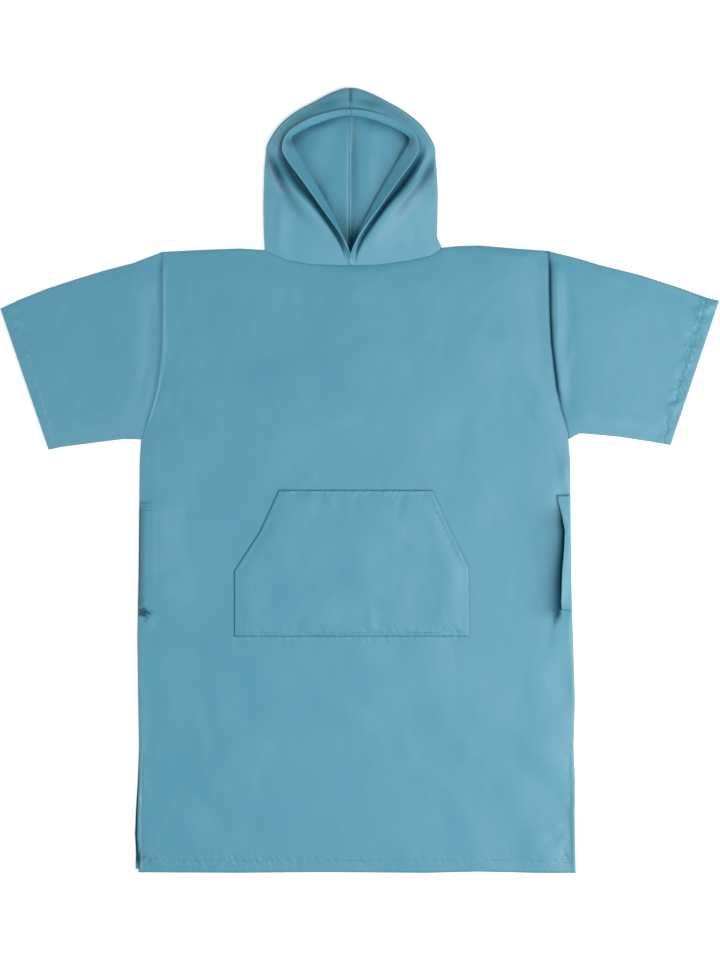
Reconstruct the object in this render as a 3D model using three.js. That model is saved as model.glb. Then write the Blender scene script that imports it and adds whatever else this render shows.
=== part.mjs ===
// Hooded bath poncho of thin microfibre towelling, laid flat on its back with the hood open to the front.
// Millimetres. +X to the side, +Y to the head end, +Z up from the floor that the back panel lies on.
import * as THREE from 'three';

// Cloth
const WALL = 1.2;             // one layer of the cloth with its nap
const HALF_WALL = WALL / 2;
const SEAM_GAP = 0.3;         // between two sewn pieces
const LAYER_TWO = WALL + SEAM_GAP;     // underside of a layer that lies on the back panel
const CLOTH_COLOR = '#66a2b8';
const HOOD_COLOR = '#6aa5bb';
const CLOTH_ROUGHNESS = 0.88;

// Levels along the garment
const HEM_Y = -660;
const SHOULDER_Y = 385;
const UNDERARM_Y = 67.5;
const HOOD_MIDDLE_X = -15.5;  // the hood's centre seam
const NECK_FRONT_Y = 361.6;   // lowest point of the front neck seam

// Body outline at each level, from the hem over side vents, side seams and armholes to the shoulders.
const BODY_EDGE = [
  { y: -660, left: -372, right: 363.5 },
  { y: -632, left: -372, right: 363 },
  { y: -602, left: -374.5, right: 362.3 },
  { y: -561, left: -374, right: 361.8 },
  { y: -505, left: -372, right: 362.3 },
  { y: -448, left: -371.5, right: 360 },
  { y: -370, left: -373, right: 362.3 },
  { y: -262, left: -374.5, right: 359 },
  { y: -222, left: -373.6, right: 357.6 },
  { y: -168, left: -372.5, right: 356 },
  { y: -100, left: -371.8, right: 355.3 },
  { y: -22, left: -371, right: 354.6 },
  { y: 34, left: -370.3, right: 354 },
  { y: 67.5, left: -368, right: 351.3 },
  { y: 80, left: -365.3, right: 350.6 },
  { y: 100, left: -358.5, right: 346.6 },
  { y: 125, left: -349.8, right: 339.2 },
  { y: 155, left: -342.1, right: 332 },
  { y: 190, left: -337.3, right: 327.6 },
  { y: 230, left: -333.8, right: 322.8 },
  { y: 285, left: -332.6, right: 320 },
  { y: 335, left: -333.1, right: 319.2 },
  { y: 385, left: -333.7, right: 318.5 },
];
const NECK_LEFT_X = -160.3;
const NECK_RIGHT_X = 139.8;
// Top edge of the front: shoulder seam, neck curve, shoulder seam.
const FRONT_TOP = [
  { x: -333.7, y: 384.2 }, { x: -269, y: 387.5 }, { x: -201.5, y: 390 }, { x: -160.3, y: 387.5 },
  { x: -124, y: 371 }, { x: -85.5, y: 364 }, { x: -36.5, y: 361.9 }, { x: -15.5, y: 361.6 }, { x: 30.5, y: 362.8 },
  { x: 82, y: 369.7 }, { x: 120.5, y: 378.5 }, { x: 139.8, y: 391.5 }, { x: 168.7, y: 394.2 },
  { x: 202.5, y: 395 }, { x: 270, y: 389.2 }, { x: 318.5, y: 385.8 },
];
const BACK_NECK_STEPS = 8;
const BACK_NECK_DIP = 4;      // the back neck seam sags this much below its two ends
const HEM_WAVE = [            // the hem's own small waver
  { x: -375, y: 0 }, { x: -200, y: -0.6 }, { x: -60, y: 0.4 }, { x: 110, y: -0.8 }, { x: 200, y: 1.4 },
  { x: 300, y: -0.9 }, { x: 365, y: -1 },
];

// Side vents: below this level front and back part, and the back's left edge stands out past the front's.
const VENT_TOP_Y = -448;
const VENT_SPREAD_LEFT = 5.5;
const BACK_HEM_LIFT = 1.5;     // the back's hem lies this much inside the front's
const BACK_HEM_LIFT_LEFT = 6;  // how much the back's left hem corner is drawn up
const BACK_HEM_LIFT_WIDTH = 9;

// Hand slit on the right side: the front edge is drawn in between these levels.
const SLIT_TOP_Y = -22;
const SLIT_BOTTOM_Y = -222;
const SLIT_DRAW_IN = 9;
const SLIT_SNIP = 3;           // length over which the edge returns to the side seam
const SLIT_EASE = 14;
const SLIT_TROUGH_FROM = 22;   // the front sinks to the back panel within this distance of the side
const SLIT_TROUGH_WIDE = 22;

// How high the front panel stands above the back panel, beyond the gap at the seams.
const EDGE_LOFT = 0.2;
const BODY_LOFT = 1.5;
const EDGE_EASE = 55;          // width of the rise from a sewn edge to the loft
const MAX_LOFT = 3.4;
const SIDE_SWELL_SHARE = 0.35; // part of a swell's rise that is left at the side seam
// Broad swells and dips of the front: centre, half length, half width, turn of the long side, height.
const FRONT_SWELLS = [
  { x: -250, y: 300, long: 130, wide: 48, turn: -38, rise: 1.1 },
  { x: -120, y: 260, long: 110, wide: 40, turn: -62, rise: -0.9 },
  { x: 210, y: 300, long: 120, wide: 55, turn: 48, rise: 1.2 },
  { x: 60, y: 190, long: 150, wide: 60, turn: 12, rise: 0.8 },
  { x: -230, y: 60, long: 140, wide: 45, turn: 70, rise: -0.8 },
  { x: 250, y: 90, long: 120, wide: 40, turn: 105, rise: -0.9 },
  { x: -290, y: -150, long: 120, wide: 34, turn: 85, rise: 1.3 },
  { x: -270, y: -350, long: 90, wide: 46, turn: 120, rise: -1.2 },
  { x: -120, y: -430, long: 160, wide: 50, turn: 28, rise: 1.0 },
  { x: 150, y: -380, long: 170, wide: 48, turn: -30, rise: 1.1 },
  { x: 40, y: -560, long: 180, wide: 38, turn: 8, rise: -0.8 },
  { x: 280, y: -560, long: 100, wide: 34, turn: 62, rise: -1.0 },
  { x: 305, y: -120, long: 125, wide: 16, turn: 90, rise: 2.1 },
  { x: 343, y: 14, long: 22, wide: 20, turn: 90, rise: 2.0 },
  { x: 345, y: -262, long: 24, wide: 20, turn: 90, rise: 2.0 },
];

// Sleeves: top fold and underarm edge, from the armhole to the cuff.
const LEFT_SLEEVE = {
  name: 'sleeve_left',
  side: -1,
  top: [
    { x: -334, y: 384.1 }, { x: -381.6, y: 365.6 }, { x: -433, y: 352.2 }, { x: -477, y: 338.7 },
    { x: -528, y: 322 }, { x: -572, y: 304.2 }, { x: -605, y: 289 },
  ],
  under: [
    { x: -368.5, y: 68.5 }, { x: -400, y: 69 }, { x: -437, y: 64.4 }, { x: -471, y: 60 }, { x: -504.5, y: 55.6 },
    { x: -523.5, y: 51.2 },
  ],
  swells: [
    { x: -400, y: 300, long: 90, wide: 30, turn: 35, rise: 1.2 },
    { x: -470, y: 200, long: 110, wide: 34, turn: 55, rise: -0.9 },
    { x: -420, y: 120, long: 90, wide: 26, turn: 20, rise: 0.9 },
    { x: -545, y: 200, long: 80, wide: 24, turn: 70, rise: 0.8 },
  ],
};
const RIGHT_SLEEVE = {
  name: 'sleeve_right',
  side: 1,
  top: [
    { x: 318.8, y: 385.6 }, { x: 371, y: 372.4 }, { x: 404, y: 362.3 }, { x: 472, y: 345.4 }, { x: 539, y: 323.6 },
    { x: 586, y: 306.7 }, { x: 605, y: 302.2 },
  ],
  under: [
    { x: 351.6, y: 68.5 }, { x: 370.7, y: 79 }, { x: 404, y: 76.2 }, { x: 438, y: 72.8 }, { x: 472, y: 67.7 },
    { x: 523.2, y: 59.3 },
  ],
  swells: [
    { x: 336, y: 310, long: 62, wide: 11, turn: 94, rise: 4.2 },
    { x: 420, y: 290, long: 100, wide: 34, turn: 140, rise: 1.1 },
    { x: 480, y: 190, long: 100, wide: 36, turn: 120, rise: -0.9 },
    { x: 380, y: 130, long: 60, wide: 22, turn: 60, rise: 0.9 },
    { x: 560, y: 210, long: 80, wide: 26, turn: 108, rise: 0.8 },
  ],
};
const SLEEVE_LOFT = 1.3;
const SLEEVE_MAX_LOFT = 2.4;
const SLEEVE_SEAM_RADIUS = 1.35;  // outside radius of the two edge folds at the armhole
const SLEEVE_FOLD_RADIUS = 1.9;   // and along the rest of the sleeve
const SLEEVE_SEAM_STATIONS = [0, 0.02, 0.05, 0.09];  // shares of the way out, close together at the seam
const SLEEVE_FAR_FROM = 0.14;
const SLEEVE_FAR_STATIONS = 8;
const SLEEVE_ARC_STEPS = 4;
const SLEEVE_FOLD_EASE = 26;      // swells fade this close to the two edge folds
const SLEEVE_SEAM_EASE = 0.07;    // share of the way out over which they rise from the armhole seam
const SLEEVE_LOFT_EASE = 0.2;
const SLEEVE_MIN_LOFT = -0.2;

// Kangaroo pocket: left and right edge, from bottom seam up the short side and the slant to the top seam.
const POCKET_LEFT = [{ y: -263, x: -211 }, { y: -153, x: -211.3 }, { y: -122, x: -191 }, { y: -86.5, x: -168 },
  { y: -43.5, x: -148 }, { y: -16.3, x: -136.2 }];
const POCKET_RIGHT = [{ y: -263, x: 184 }, { y: -149, x: 183.2 }, { y: -144, x: 182.5 }, { y: -72, x: 147.5 },
  { y: -16.3, x: 122.6 }];
const POCKET_LOFT = 1.6;
const POCKET_EASE = 30;

// Edge strip of the right hand slit: x of its free front edge at each level.
const STRIP_EDGE = [
  { y: -218, x: 339.4 }, { y: -205.5, x: 338.4 }, { y: -154, x: 340.4 }, { y: -116.5, x: 343.6 }, { y: -85.5, x: 345.2 },
  { y: -59.5, x: 340 }, { y: -36.5, x: 333.8 }, { y: -25.5, x: 333.2 },
];
const STRIP_TOP_Z = 7.4;
const STRIP_UNDER_LEG = 4.5;
const STRIP_SAG = 0.45;        // fall of the front leg from the fold to its free edge
const STRIP_STEPS = { fold: 8, leg: 3, spacing: 18 };

// Hood half, mirrored for the other: each row is one section from the back centre seam on the floor, out to the
// side fold and over to the opening. Each fold is given as out (from the centre seam), up (above the front neck
// seam's lowest point) and, where it isn't the floor, z.
const HOOD_SECTIONS = [
  { seamUp: 26.5, side: [144.7, 26.1], shoulder: [80, 5.6, 2.6], ridge: [16.3, 0.7, 3], valley: [10.6, 0.45, 3],
    turn: [5.4, 0.35, 3.2], rim: [0.6, 0.3, 3.4], fold: 0.8 },
  { seamUp: 42, side: [145.7, 46.3], shoulder: [86, 30, 6], ridge: [22.4, 21, 6.6], valley: [12.4, 17.7, 5],
    turn: [5.4, 18.4, 4], rim: [0.8, 20, 7.2], fold: 1.9 },
  { seamUp: 66.5, side: [146.4, 73.2], shoulder: [96, 62, 9], ridge: [36, 47.5, 11.5], valley: [24.5, 48.8, 6.2],
    turn: [14.5, 52.7, 4.4], rim: [17.2, 53, 14], fold: 2.6 },
  { seamUp: 98.5, side: [146.8, 103.5], shoulder: [113, 99, 10], ridge: [68, 91, 17], valley: [58, 98, 5.2],
    turn: [41.2, 107.6, 4.8], rim: [51.8, 101.8, 21], fold: 3 },
  { seamUp: 130.5, side: [146.4, 133.8], shoulder: [126, 134, 9], ridge: [102.7, 128.7, 20.5], valley: [89.5, 137, 5.2],
    turn: [64.8, 148.9, 6], rim: [80.8, 143.1, 26], fold: 3 },
  { seamUp: 164, side: [143.9, 177.6], shoulder: [136, 171, 10.5], ridge: [124, 163, 20], valley: [112, 173, 8.5],
    turn: [85.8, 184.6, 8], rim: [106, 177.6, 29], fold: 3.2 },
  { seamUp: 191, side: [140, 205], shoulder: [136.5, 201.5, 12], ridge: [130, 198.5, 18], valley: [120, 199.8, 14.5],
    turn: [95.9, 205.5, 13], rim: [114.4, 199.4, 30], fold: 3.4 },
  { seamUp: 214.5, side: [115.3, 240.7], shoulder: [112.5, 236.5, 12.5], ridge: [110, 233.5, 18],
    valley: [106, 229, 16.5], turn: [90, 215.5, 17], rim: [101.8, 227.2, 30], fold: 3.8 },
  { seamUp: 238, side: [70, 271.8], shoulder: [68, 266.5, 13], ridge: [65.5, 262, 18], valley: [61, 254.5, 16.8],
    turn: [54, 238.6, 19.5], rim: [57.2, 251.6, 30], fold: 4.2 },
  { seamUp: 258, side: [0, 299.4], shoulder: [0, 292, 13.5], ridge: [0, 284, 18], valley: [0, 269, 16.5],
    turn: [0, 251.9, 20], rim: [0, 262.7, 30], fold: 4.4 },
];
const HOOD_STEPS = { floor: 4, fold: 6, shoulder: 5, ridge: 4, valley: 4, turn: 3, rim: 4 };
const HOOD_ROWS_PER_SECTION = 3;
const HOOD_SEAM_REACH = 1.5;  // table rows over which the hood leaves the line of the neck seam
const HOOD_FLARE_RIGHT = 8.5; // the neck seam reaches further out on the right
const HOOD_FLARE_REACH = 1.2;  // table rows over which that flare dies away

// Grid of the panels
const LEVEL_STEP = 35;
const COLUMN_STEP = 34;
const POCKET_ROWS = 9;
const POCKET_COLUMNS = 14;

const clamp = (value, low, high) => Math.min(high, Math.max(low, value));
const lerp = (a, b, t) => a + (b - a) * t;
const ease = (t) => { const c = clamp(t, 0, 1); return c * c * (3 - 2 * c); };

// Straight-line reading of a table: value of column `out` where column `along` is `at`.
function read(table, along, out, at) {
  const rising = table[table.length - 1][along] > table[0][along];
  const rows = rising ? table : [...table].reverse();
  if (at <= rows[0][along]) return rows[0][out];
  for (let i = 1; i < rows.length; i++) {
    if (at <= rows[i][along]) {
      const share = (at - rows[i - 1][along]) / (rows[i][along] - rows[i - 1][along]);
      return lerp(rows[i - 1][out], rows[i][out], share);
    }
  }
  return rows[rows.length - 1][out];
}

// The outline's own levels between two heights, with more between them where they lie far apart.
function levelsBetween(from, to, extra = []) {
  const inside = BODY_EDGE.map((row) => row.y).filter((y) => y > from && y < to);
  const main = [from, ...new Set([...inside, ...extra.filter((y) => y > from && y < to)])].sort((a, b) => a - b);
  main.push(to);
  const levels = [];
  for (let i = 0; i < main.length - 1; i++) {
    const steps = Math.ceil((main[i + 1] - main[i]) / LEVEL_STEP);
    for (let k = 0; k < steps; k++) levels.push(lerp(main[i], main[i + 1], k / steps));
  }
  levels.push(to);
  return levels;
}

// Sum of soft oval swells at a place.
function swell(swells, x, y) {
  let height = 0;
  for (const s of swells) {
    const turn = THREE.MathUtils.degToRad(s.turn);
    const dx = x - s.x;
    const dy = y - s.y;
    const along = (dx * Math.cos(turn) + dy * Math.sin(turn)) / s.long;
    const across = (dy * Math.cos(turn) - dx * Math.sin(turn)) / s.wide;
    height += s.rise * Math.exp(-(along * along + across * across));
  }
  return height;
}

// Height of the front panel's underside.
function frontUnder(x, y) {
  const fromSide = Math.min(x - read(BODY_EDGE, 'y', 'left', y), read(BODY_EDGE, 'y', 'right', y) - x);
  const fromTop = Math.max(read(FRONT_TOP, 'x', 'y', x) - y, 0);
  const inside = ease(fromSide / EDGE_EASE) * ease(fromTop / EDGE_EASE);
  const near = ease(fromSide / SLIT_EASE + SIDE_SWELL_SHARE) * ease(fromTop / SLIT_EASE);
  const loft = EDGE_LOFT + BODY_LOFT * inside + swell(FRONT_SWELLS, x, y) * near;
  const belowTop = ease((SLIT_TOP_Y + SLIT_EASE - y) / SLIT_EASE);
  const alongSlit = belowTop * ease((y - SLIT_BOTTOM_Y + SLIT_EASE) / SLIT_EASE);
  const trough = x > 0 ? alongSlit * (1 - ease((fromSide - SLIT_TROUGH_FROM) / SLIT_TROUGH_WIDE)) : 0;
  return LAYER_TWO + clamp(loft, 0, MAX_LOFT) * (1 - trough);
}

// A cloth wall between two grids of points, closed round its four edges.
function wallGeometry(under, over, shortDiagonals = false) {
  const rows = under.length;
  const columns = under[0].length;
  const points = [...under.flat(), ...over.flat()];
  const at = (layer, i, j) => layer * rows * columns + i * columns + j;
  const faces = [];
  const quad = (a, b, c, d, firstDiagonal) => {
    if (firstDiagonal) faces.push([a, b, c], [a, c, d]);
    else faces.push([a, b, d], [b, c, d]);
  };
  for (let i = 0; i < rows - 1; i++) {
    for (let j = 0; j < columns - 1; j++) {
      const first = under[i][j].distanceTo(under[i + 1][j + 1]);
      const firstDiagonal = !shortDiagonals || first <= under[i][j + 1].distanceTo(under[i + 1][j]);
      quad(at(1, i, j), at(1, i, j + 1), at(1, i + 1, j + 1), at(1, i + 1, j), firstDiagonal);
      const flip = [at(0, i, j), at(0, i + 1, j), at(0, i + 1, j + 1), at(0, i, j + 1)];
      quad(...flip, firstDiagonal);
    }
  }
  for (let j = 0; j < columns - 1; j++) {
    const last = rows - 1;
    quad(at(0, 0, j), at(0, 0, j + 1), at(1, 0, j + 1), at(1, 0, j), true);
    quad(at(1, last, j), at(1, last, j + 1), at(0, last, j + 1), at(0, last, j), true);
  }
  for (let i = 0; i < rows - 1; i++) {
    const last = columns - 1;
    quad(at(1, i, 0), at(1, i + 1, 0), at(0, i + 1, 0), at(0, i, 0), true);
    quad(at(0, i, last), at(0, i + 1, last), at(1, i + 1, last), at(1, i, last), true);
  }
  return facesGeometry(points, faces);
}

// Indexed geometry with its faces turned outward.
function facesGeometry(points, faces) {
  let volume = 0;
  for (const [a, b, c] of faces) {
    volume += points[a].dot(new THREE.Vector3().crossVectors(points[b], points[c]));
  }
  const indices = volume > 0 ? faces.flat() : faces.flatMap(([a, b, c]) => [a, c, b]);
  const geometry = new THREE.BufferGeometry();
  geometry.setAttribute('position', new THREE.Float32BufferAttribute(points.flatMap((p) => p.toArray()), 3));
  geometry.setIndex(indices);
  geometry.computeVertexNormals();
  return geometry;
}

function clothMesh(name, geometry, color = CLOTH_COLOR) {
  const material = new THREE.MeshStandardMaterial({ color, roughness: CLOTH_ROUGHNESS, metalness: 0 });
  const mesh = new THREE.Mesh(geometry, material);
  mesh.name = name;
  return mesh;
}

// How far the front edge is drawn in along the right hand slit.
function slitDrawIn(y) {
  return SLIT_DRAW_IN * clamp((SLIT_TOP_Y - y) / SLIT_SNIP, 0, 1) * clamp((y - SLIT_BOTTOM_Y) / SLIT_SNIP, 0, 1);
}

// Front panel: level lines that bend into the shoulders and the neck curve as they rise.
function frontPanel() {
  const left = FRONT_TOP[0].x;
  const right = FRONT_TOP[FRONT_TOP.length - 1].x;
  const across = [];
  for (let i = 0; i < FRONT_TOP.length - 1; i++) {
    const steps = Math.ceil((FRONT_TOP[i + 1].x - FRONT_TOP[i].x) / COLUMN_STEP);
    for (let k = 0; k < steps; k++) {
      across.push((lerp(FRONT_TOP[i].x, FRONT_TOP[i + 1].x, k / steps) - left) / (right - left));
    }
  }
  across.push(1);
  const slitEnds = [SLIT_BOTTOM_Y + SLIT_SNIP, SLIT_TOP_Y - SLIT_SNIP];
  const rowLevels = levelsBetween(HEM_Y, SHOULDER_Y, slitEnds);
  const under = rowLevels.map((level) => {
    const v = (level - HEM_Y) / (SHOULDER_Y - HEM_Y);
    const from = read(BODY_EDGE, 'y', 'left', level);
    const to = read(BODY_EDGE, 'y', 'right', level) - slitDrawIn(level);
    return across.map((u) => {
      const x = lerp(from, to, u);
      const y = lerp(HEM_Y + read(HEM_WAVE, 'x', 'y', x), read(FRONT_TOP, 'x', 'y', x), v);
      return new THREE.Vector3(x, y, frontUnder(x, y));
    });
  });
  const over = under.map((row) => row.map((p) => new THREE.Vector3(p.x, p.y, p.z + WALL)));
  return clothMesh('front_panel', wallGeometry(under, over));
}

// Back neck seam: an even sag between the two ends of the shoulder seams.
function backNeck(x) {
  const share = clamp((x - NECK_LEFT_X) / (NECK_RIGHT_X - NECK_LEFT_X), 0, 1);
  const ends = lerp(read(FRONT_TOP, 'x', 'y', NECK_LEFT_X), read(FRONT_TOP, 'x', 'y', NECK_RIGHT_X), share);
  return ends - BACK_NECK_DIP * Math.sin(Math.PI * share);
}

// Back panel: one flat layer on the floor, extruded from its outline.
function backPanel() {
  const outline = [];
  const last = BODY_EDGE.length - 1;
  const ventShare = (y) => clamp((VENT_TOP_Y - y) / (VENT_TOP_Y - HEM_Y), 0, 1);
  for (const { y, right } of BODY_EDGE) outline.push([right, Math.max(y, HEM_Y + BACK_HEM_LIFT)]);
  const rightShoulder = FRONT_TOP.filter(({ x }) => x >= NECK_RIGHT_X).reverse();
  const leftShoulder = FRONT_TOP.filter(({ x }) => x <= NECK_LEFT_X).reverse();
  outline.pop();
  for (const { x, y } of rightShoulder) outline.push([x, y]);
  for (let i = 1; i < BACK_NECK_STEPS; i++) {
    const x = lerp(NECK_RIGHT_X, NECK_LEFT_X, i / BACK_NECK_STEPS);
    outline.push([x, backNeck(x)]);
  }
  for (const { x, y } of leftShoulder) outline.push([x, y]);
  for (let i = last - 1; i > 0; i--) {
    const { y, left } = BODY_EDGE[i];
    outline.push([left - VENT_SPREAD_LEFT * ventShare(y), y]);
  }
  const cornerX = BODY_EDGE[0].left - VENT_SPREAD_LEFT;
  outline.push([cornerX, HEM_Y + BACK_HEM_LIFT_LEFT], [cornerX + BACK_HEM_LIFT_WIDTH, HEM_Y + BACK_HEM_LIFT_LEFT],
    [cornerX + BACK_HEM_LIFT_WIDTH + BACK_HEM_LIFT, HEM_Y + BACK_HEM_LIFT]);
  const shape = new THREE.Shape(outline.map(([x, y]) => new THREE.Vector2(x, y)));
  const flat = new THREE.ExtrudeGeometry(shape, { depth: WALL, bevelEnabled: false, steps: 1 });
  return clothMesh('back_panel', flat);
}

// Sleeve: rings round a flat tube, from the armhole out to the cuff, open at both ends.
function sleeve(form) {
  const column = form.side < 0 ? 'left' : 'right';
  const levels = levelsBetween(UNDERARM_Y, SHOULDER_Y);
  const shares = levels.slice(1, -1).map((y) => (y - UNDERARM_Y) / (SHOULDER_Y - UNDERARM_Y));
  const armhole = (t) => {
    const y = lerp(UNDERARM_Y, SHOULDER_Y, t);
    return new THREE.Vector2(read(BODY_EDGE, 'y', column, y) + form.side * SEAM_GAP, y);
  };
  const along = (table, s) => {
    const x = lerp(table[0].x, table[table.length - 1].x, s);
    return new THREE.Vector2(x, read(table, 'x', 'y', x));
  };
  const cuffUnder = along(form.under, 1);
  const cuffTop = along(form.top, 1);
  const place = (s, t) => {
    const start = armhole(t);
    const end = cuffUnder.clone().lerp(cuffTop, t);
    const low = along(form.under, s);
    const high = along(form.top, s);
    const corners = armhole(0).lerp(cuffUnder, s).lerp(armhole(1).lerp(cuffTop, s), t);
    return start.lerp(end, s).add(low.lerp(high, t)).sub(corners);
  };
  const ringAt = (s, depth) => {
    const radius = lerp(SLEEVE_SEAM_RADIUS, SLEEVE_FOLD_RADIUS, ease(s / SLEEVE_LOFT_EASE));
    const width = place(s, 0).distanceTo(place(s, 1));
    const edgeShare = radius / width;
    const ring = [];
    const push = (t, z) => { const p = place(s, t); ring.push(new THREE.Vector3(p.x, p.y, z)); };
    for (const t of [edgeShare, ...shares]) push(t, depth);
    for (let i = 0; i < SLEEVE_ARC_STEPS; i++) {
      const angle = -Math.PI / 2 + Math.PI * i / SLEEVE_ARC_STEPS;
      push(1 - edgeShare + (radius - depth) / width * Math.cos(angle), radius + (radius - depth) * Math.sin(angle));
    }
    for (const t of [1 - edgeShare, ...[...shares].reverse()]) {
      const p = place(s, t);
      const fromEdge = Math.min(t, 1 - t) * width;
      const inside = ease(fromEdge / EDGE_EASE) * ease(s / SLEEVE_LOFT_EASE);
      const near = ease(fromEdge / SLEEVE_FOLD_EASE) * ease(s / SLEEVE_SEAM_EASE);
      const rise = SLEEVE_LOFT * inside + swell(form.swells, p.x, p.y) * near;
      const loft = clamp(rise, SLEEVE_MIN_LOFT, SLEEVE_MAX_LOFT);
      push(t, 2 * radius + loft - depth);
    }
    for (let i = 0; i < SLEEVE_ARC_STEPS; i++) {
      const angle = Math.PI / 2 + Math.PI * i / SLEEVE_ARC_STEPS;
      push(edgeShare + (radius - depth) / width * Math.cos(angle), radius + (radius - depth) * Math.sin(angle));
    }
    return ring;
  };
  const far = Array.from({ length: SLEEVE_FAR_STATIONS }, (_, i) =>
    lerp(SLEEVE_FAR_FROM, 1, i / (SLEEVE_FAR_STATIONS - 1)));
  const stations = [...SLEEVE_SEAM_STATIONS, ...far];
  const outer = stations.map((s) => ringAt(s, 0));
  const inner = stations.map((s) => ringAt(s, WALL));
  const count = outer[0].length;
  const points = [...outer.flat(), ...inner.flat()];
  const at = (layer, i, j) => layer * stations.length * count + i * count + (j % count);
  const faces = [];
  for (let i = 0; i < stations.length - 1; i++) {
    for (let j = 0; j < count; j++) {
      faces.push([at(0, i, j), at(0, i, j + 1), at(0, i + 1, j + 1)]);
      faces.push([at(0, i, j), at(0, i + 1, j + 1), at(0, i + 1, j)]);
      faces.push([at(1, i, j), at(1, i + 1, j + 1), at(1, i, j + 1)]);
      faces.push([at(1, i, j), at(1, i + 1, j), at(1, i + 1, j + 1)]);
    }
  }
  for (let j = 0; j < count; j++) {
    const end = stations.length - 1;
    faces.push([at(0, 0, j), at(1, 0, j), at(1, 0, j + 1)], [at(0, 0, j), at(1, 0, j + 1), at(0, 0, j + 1)]);
    faces.push([at(0, end, j), at(1, end, j + 1), at(1, end, j)], [at(0, end, j), at(0, end, j + 1), at(1, end, j + 1)]);
  }
  return clothMesh(form.name, facesGeometry(points, faces));
}

// Kangaroo pocket: the front panel's own points, moved out, with a little room inside.
function pocket() {
  const bottom = POCKET_LEFT[0].y;
  const top = POCKET_LEFT[POCKET_LEFT.length - 1].y;
  const under = Array.from({ length: POCKET_ROWS + 1 }, (_, i) => {
    const y = lerp(bottom, top, i / POCKET_ROWS);
    const from = read(POCKET_LEFT, 'y', 'x', y);
    const to = read(POCKET_RIGHT, 'y', 'x', y);
    return Array.from({ length: POCKET_COLUMNS + 1 }, (__, j) => {
      const x = lerp(from, to, j / POCKET_COLUMNS);
      const fromEdge = Math.min(x - from, to - x, y - bottom, top - y);
      const loft = POCKET_LOFT * ease(fromEdge / POCKET_EASE);
      return new THREE.Vector3(x, y, frontUnder(x, y) + WALL + 2 * SEAM_GAP + loft);
    });
  });
  const over = under.map((row) => row.map((p) => new THREE.Vector3(p.x, p.y, p.z + WALL)));
  return clothMesh('pocket', wallGeometry(under, over));
}

// Offsets a grid of mid-surface points along its normals to both faces of the wall.
function offsetWall(middle, flatten) {
  const rows = middle.length;
  const columns = middle[0].length;
  const under = [];
  const over = [];
  for (let i = 0; i < rows; i++) {
    under.push([]);
    over.push([]);
    for (let j = 0; j < columns; j++) {
      const alongRow = middle[i][Math.min(j + 1, columns - 1)].clone().sub(middle[i][Math.max(j - 1, 0)]);
      const alongColumn = middle[Math.min(i + 1, rows - 1)][j].clone().sub(middle[Math.max(i - 1, 0)][j]);
      const normal = new THREE.Vector3().crossVectors(alongRow, alongColumn);
      flatten(normal, i, j);
      normal.normalize();
      under[i].push(middle[i][j].clone().addScaledVector(normal, -HALF_WALL));
      over[i].push(middle[i][j].clone().addScaledVector(normal, HALF_WALL));
    }
  }
  return [under, over];
}

// Edge strip of the right hand slit: a short leg on the back panel, a fold at the side and a leg to the front.
function slitStrip() {
  const levels = [];
  for (let i = 0; i < STRIP_EDGE.length - 1; i++) {
    const steps = Math.ceil((STRIP_EDGE[i + 1].y - STRIP_EDGE[i].y) / STRIP_STEPS.spacing);
    for (let k = 0; k < steps; k++) levels.push(lerp(STRIP_EDGE[i].y, STRIP_EDGE[i + 1].y, k / steps));
  }
  levels.push(STRIP_EDGE[STRIP_EDGE.length - 1].y);
  const lowZ = LAYER_TWO + HALF_WALL;
  const highZ = STRIP_TOP_Z - HALF_WALL;
  const radius = (highZ - lowZ) / 2;
  const middle = levels.map((y) => {
    const outside = read(BODY_EDGE, 'y', 'right', y) - HALF_WALL;
    const centre = outside - radius;
    const row = [new THREE.Vector3(centre - STRIP_UNDER_LEG, y, lowZ)];
    for (let k = 0; k <= STRIP_STEPS.fold; k++) {
      const angle = -Math.PI / 2 + Math.PI * k / STRIP_STEPS.fold;
      row.push(new THREE.Vector3(centre + radius * Math.cos(angle), y, lowZ + radius + radius * Math.sin(angle)));
    }
    const free = read(STRIP_EDGE, 'y', 'x', y);
    for (let k = 1; k <= STRIP_STEPS.leg; k++) {
      const share = k / STRIP_STEPS.leg;
      row.push(new THREE.Vector3(lerp(centre, free, share), y, highZ - STRIP_SAG * share));
    }
    return row;
  });
  const [under, over] = offsetWall(middle, (normal) => { normal.y = 0; });
  return clothMesh('slit_strip_right', wallGeometry(under, over));
}

// Smooth curve value through four numbers, between the middle two.
function curve(a, b, c, d, t) {
  const slopeB = (c - a) / 2;
  const slopeC = (d - b) / 2;
  const t2 = t * t;
  const t3 = t2 * t;
  return (2 * t3 - 3 * t2 + 1) * b + (t3 - 2 * t2 + t) * slopeB + (3 * t2 - 2 * t3) * c + (t3 - t2) * slopeC;
}

// One column of the hood table, read smoothly at a place between its rows. Past the crown the rows mirror.
function hoodValue(pick, place, mirrored = 1) {
  const last = HOOD_SECTIONS.length - 1;
  const row = Math.min(Math.floor(place), last - 1);
  const value = (i) => (i > last ? mirrored * pick(HOOD_SECTIONS[2 * last - i]) : pick(HOOD_SECTIONS[Math.max(i, 0)]));
  return curve(value(row - 1), value(row), value(row + 1), value(row + 2), place - row);
}

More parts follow.
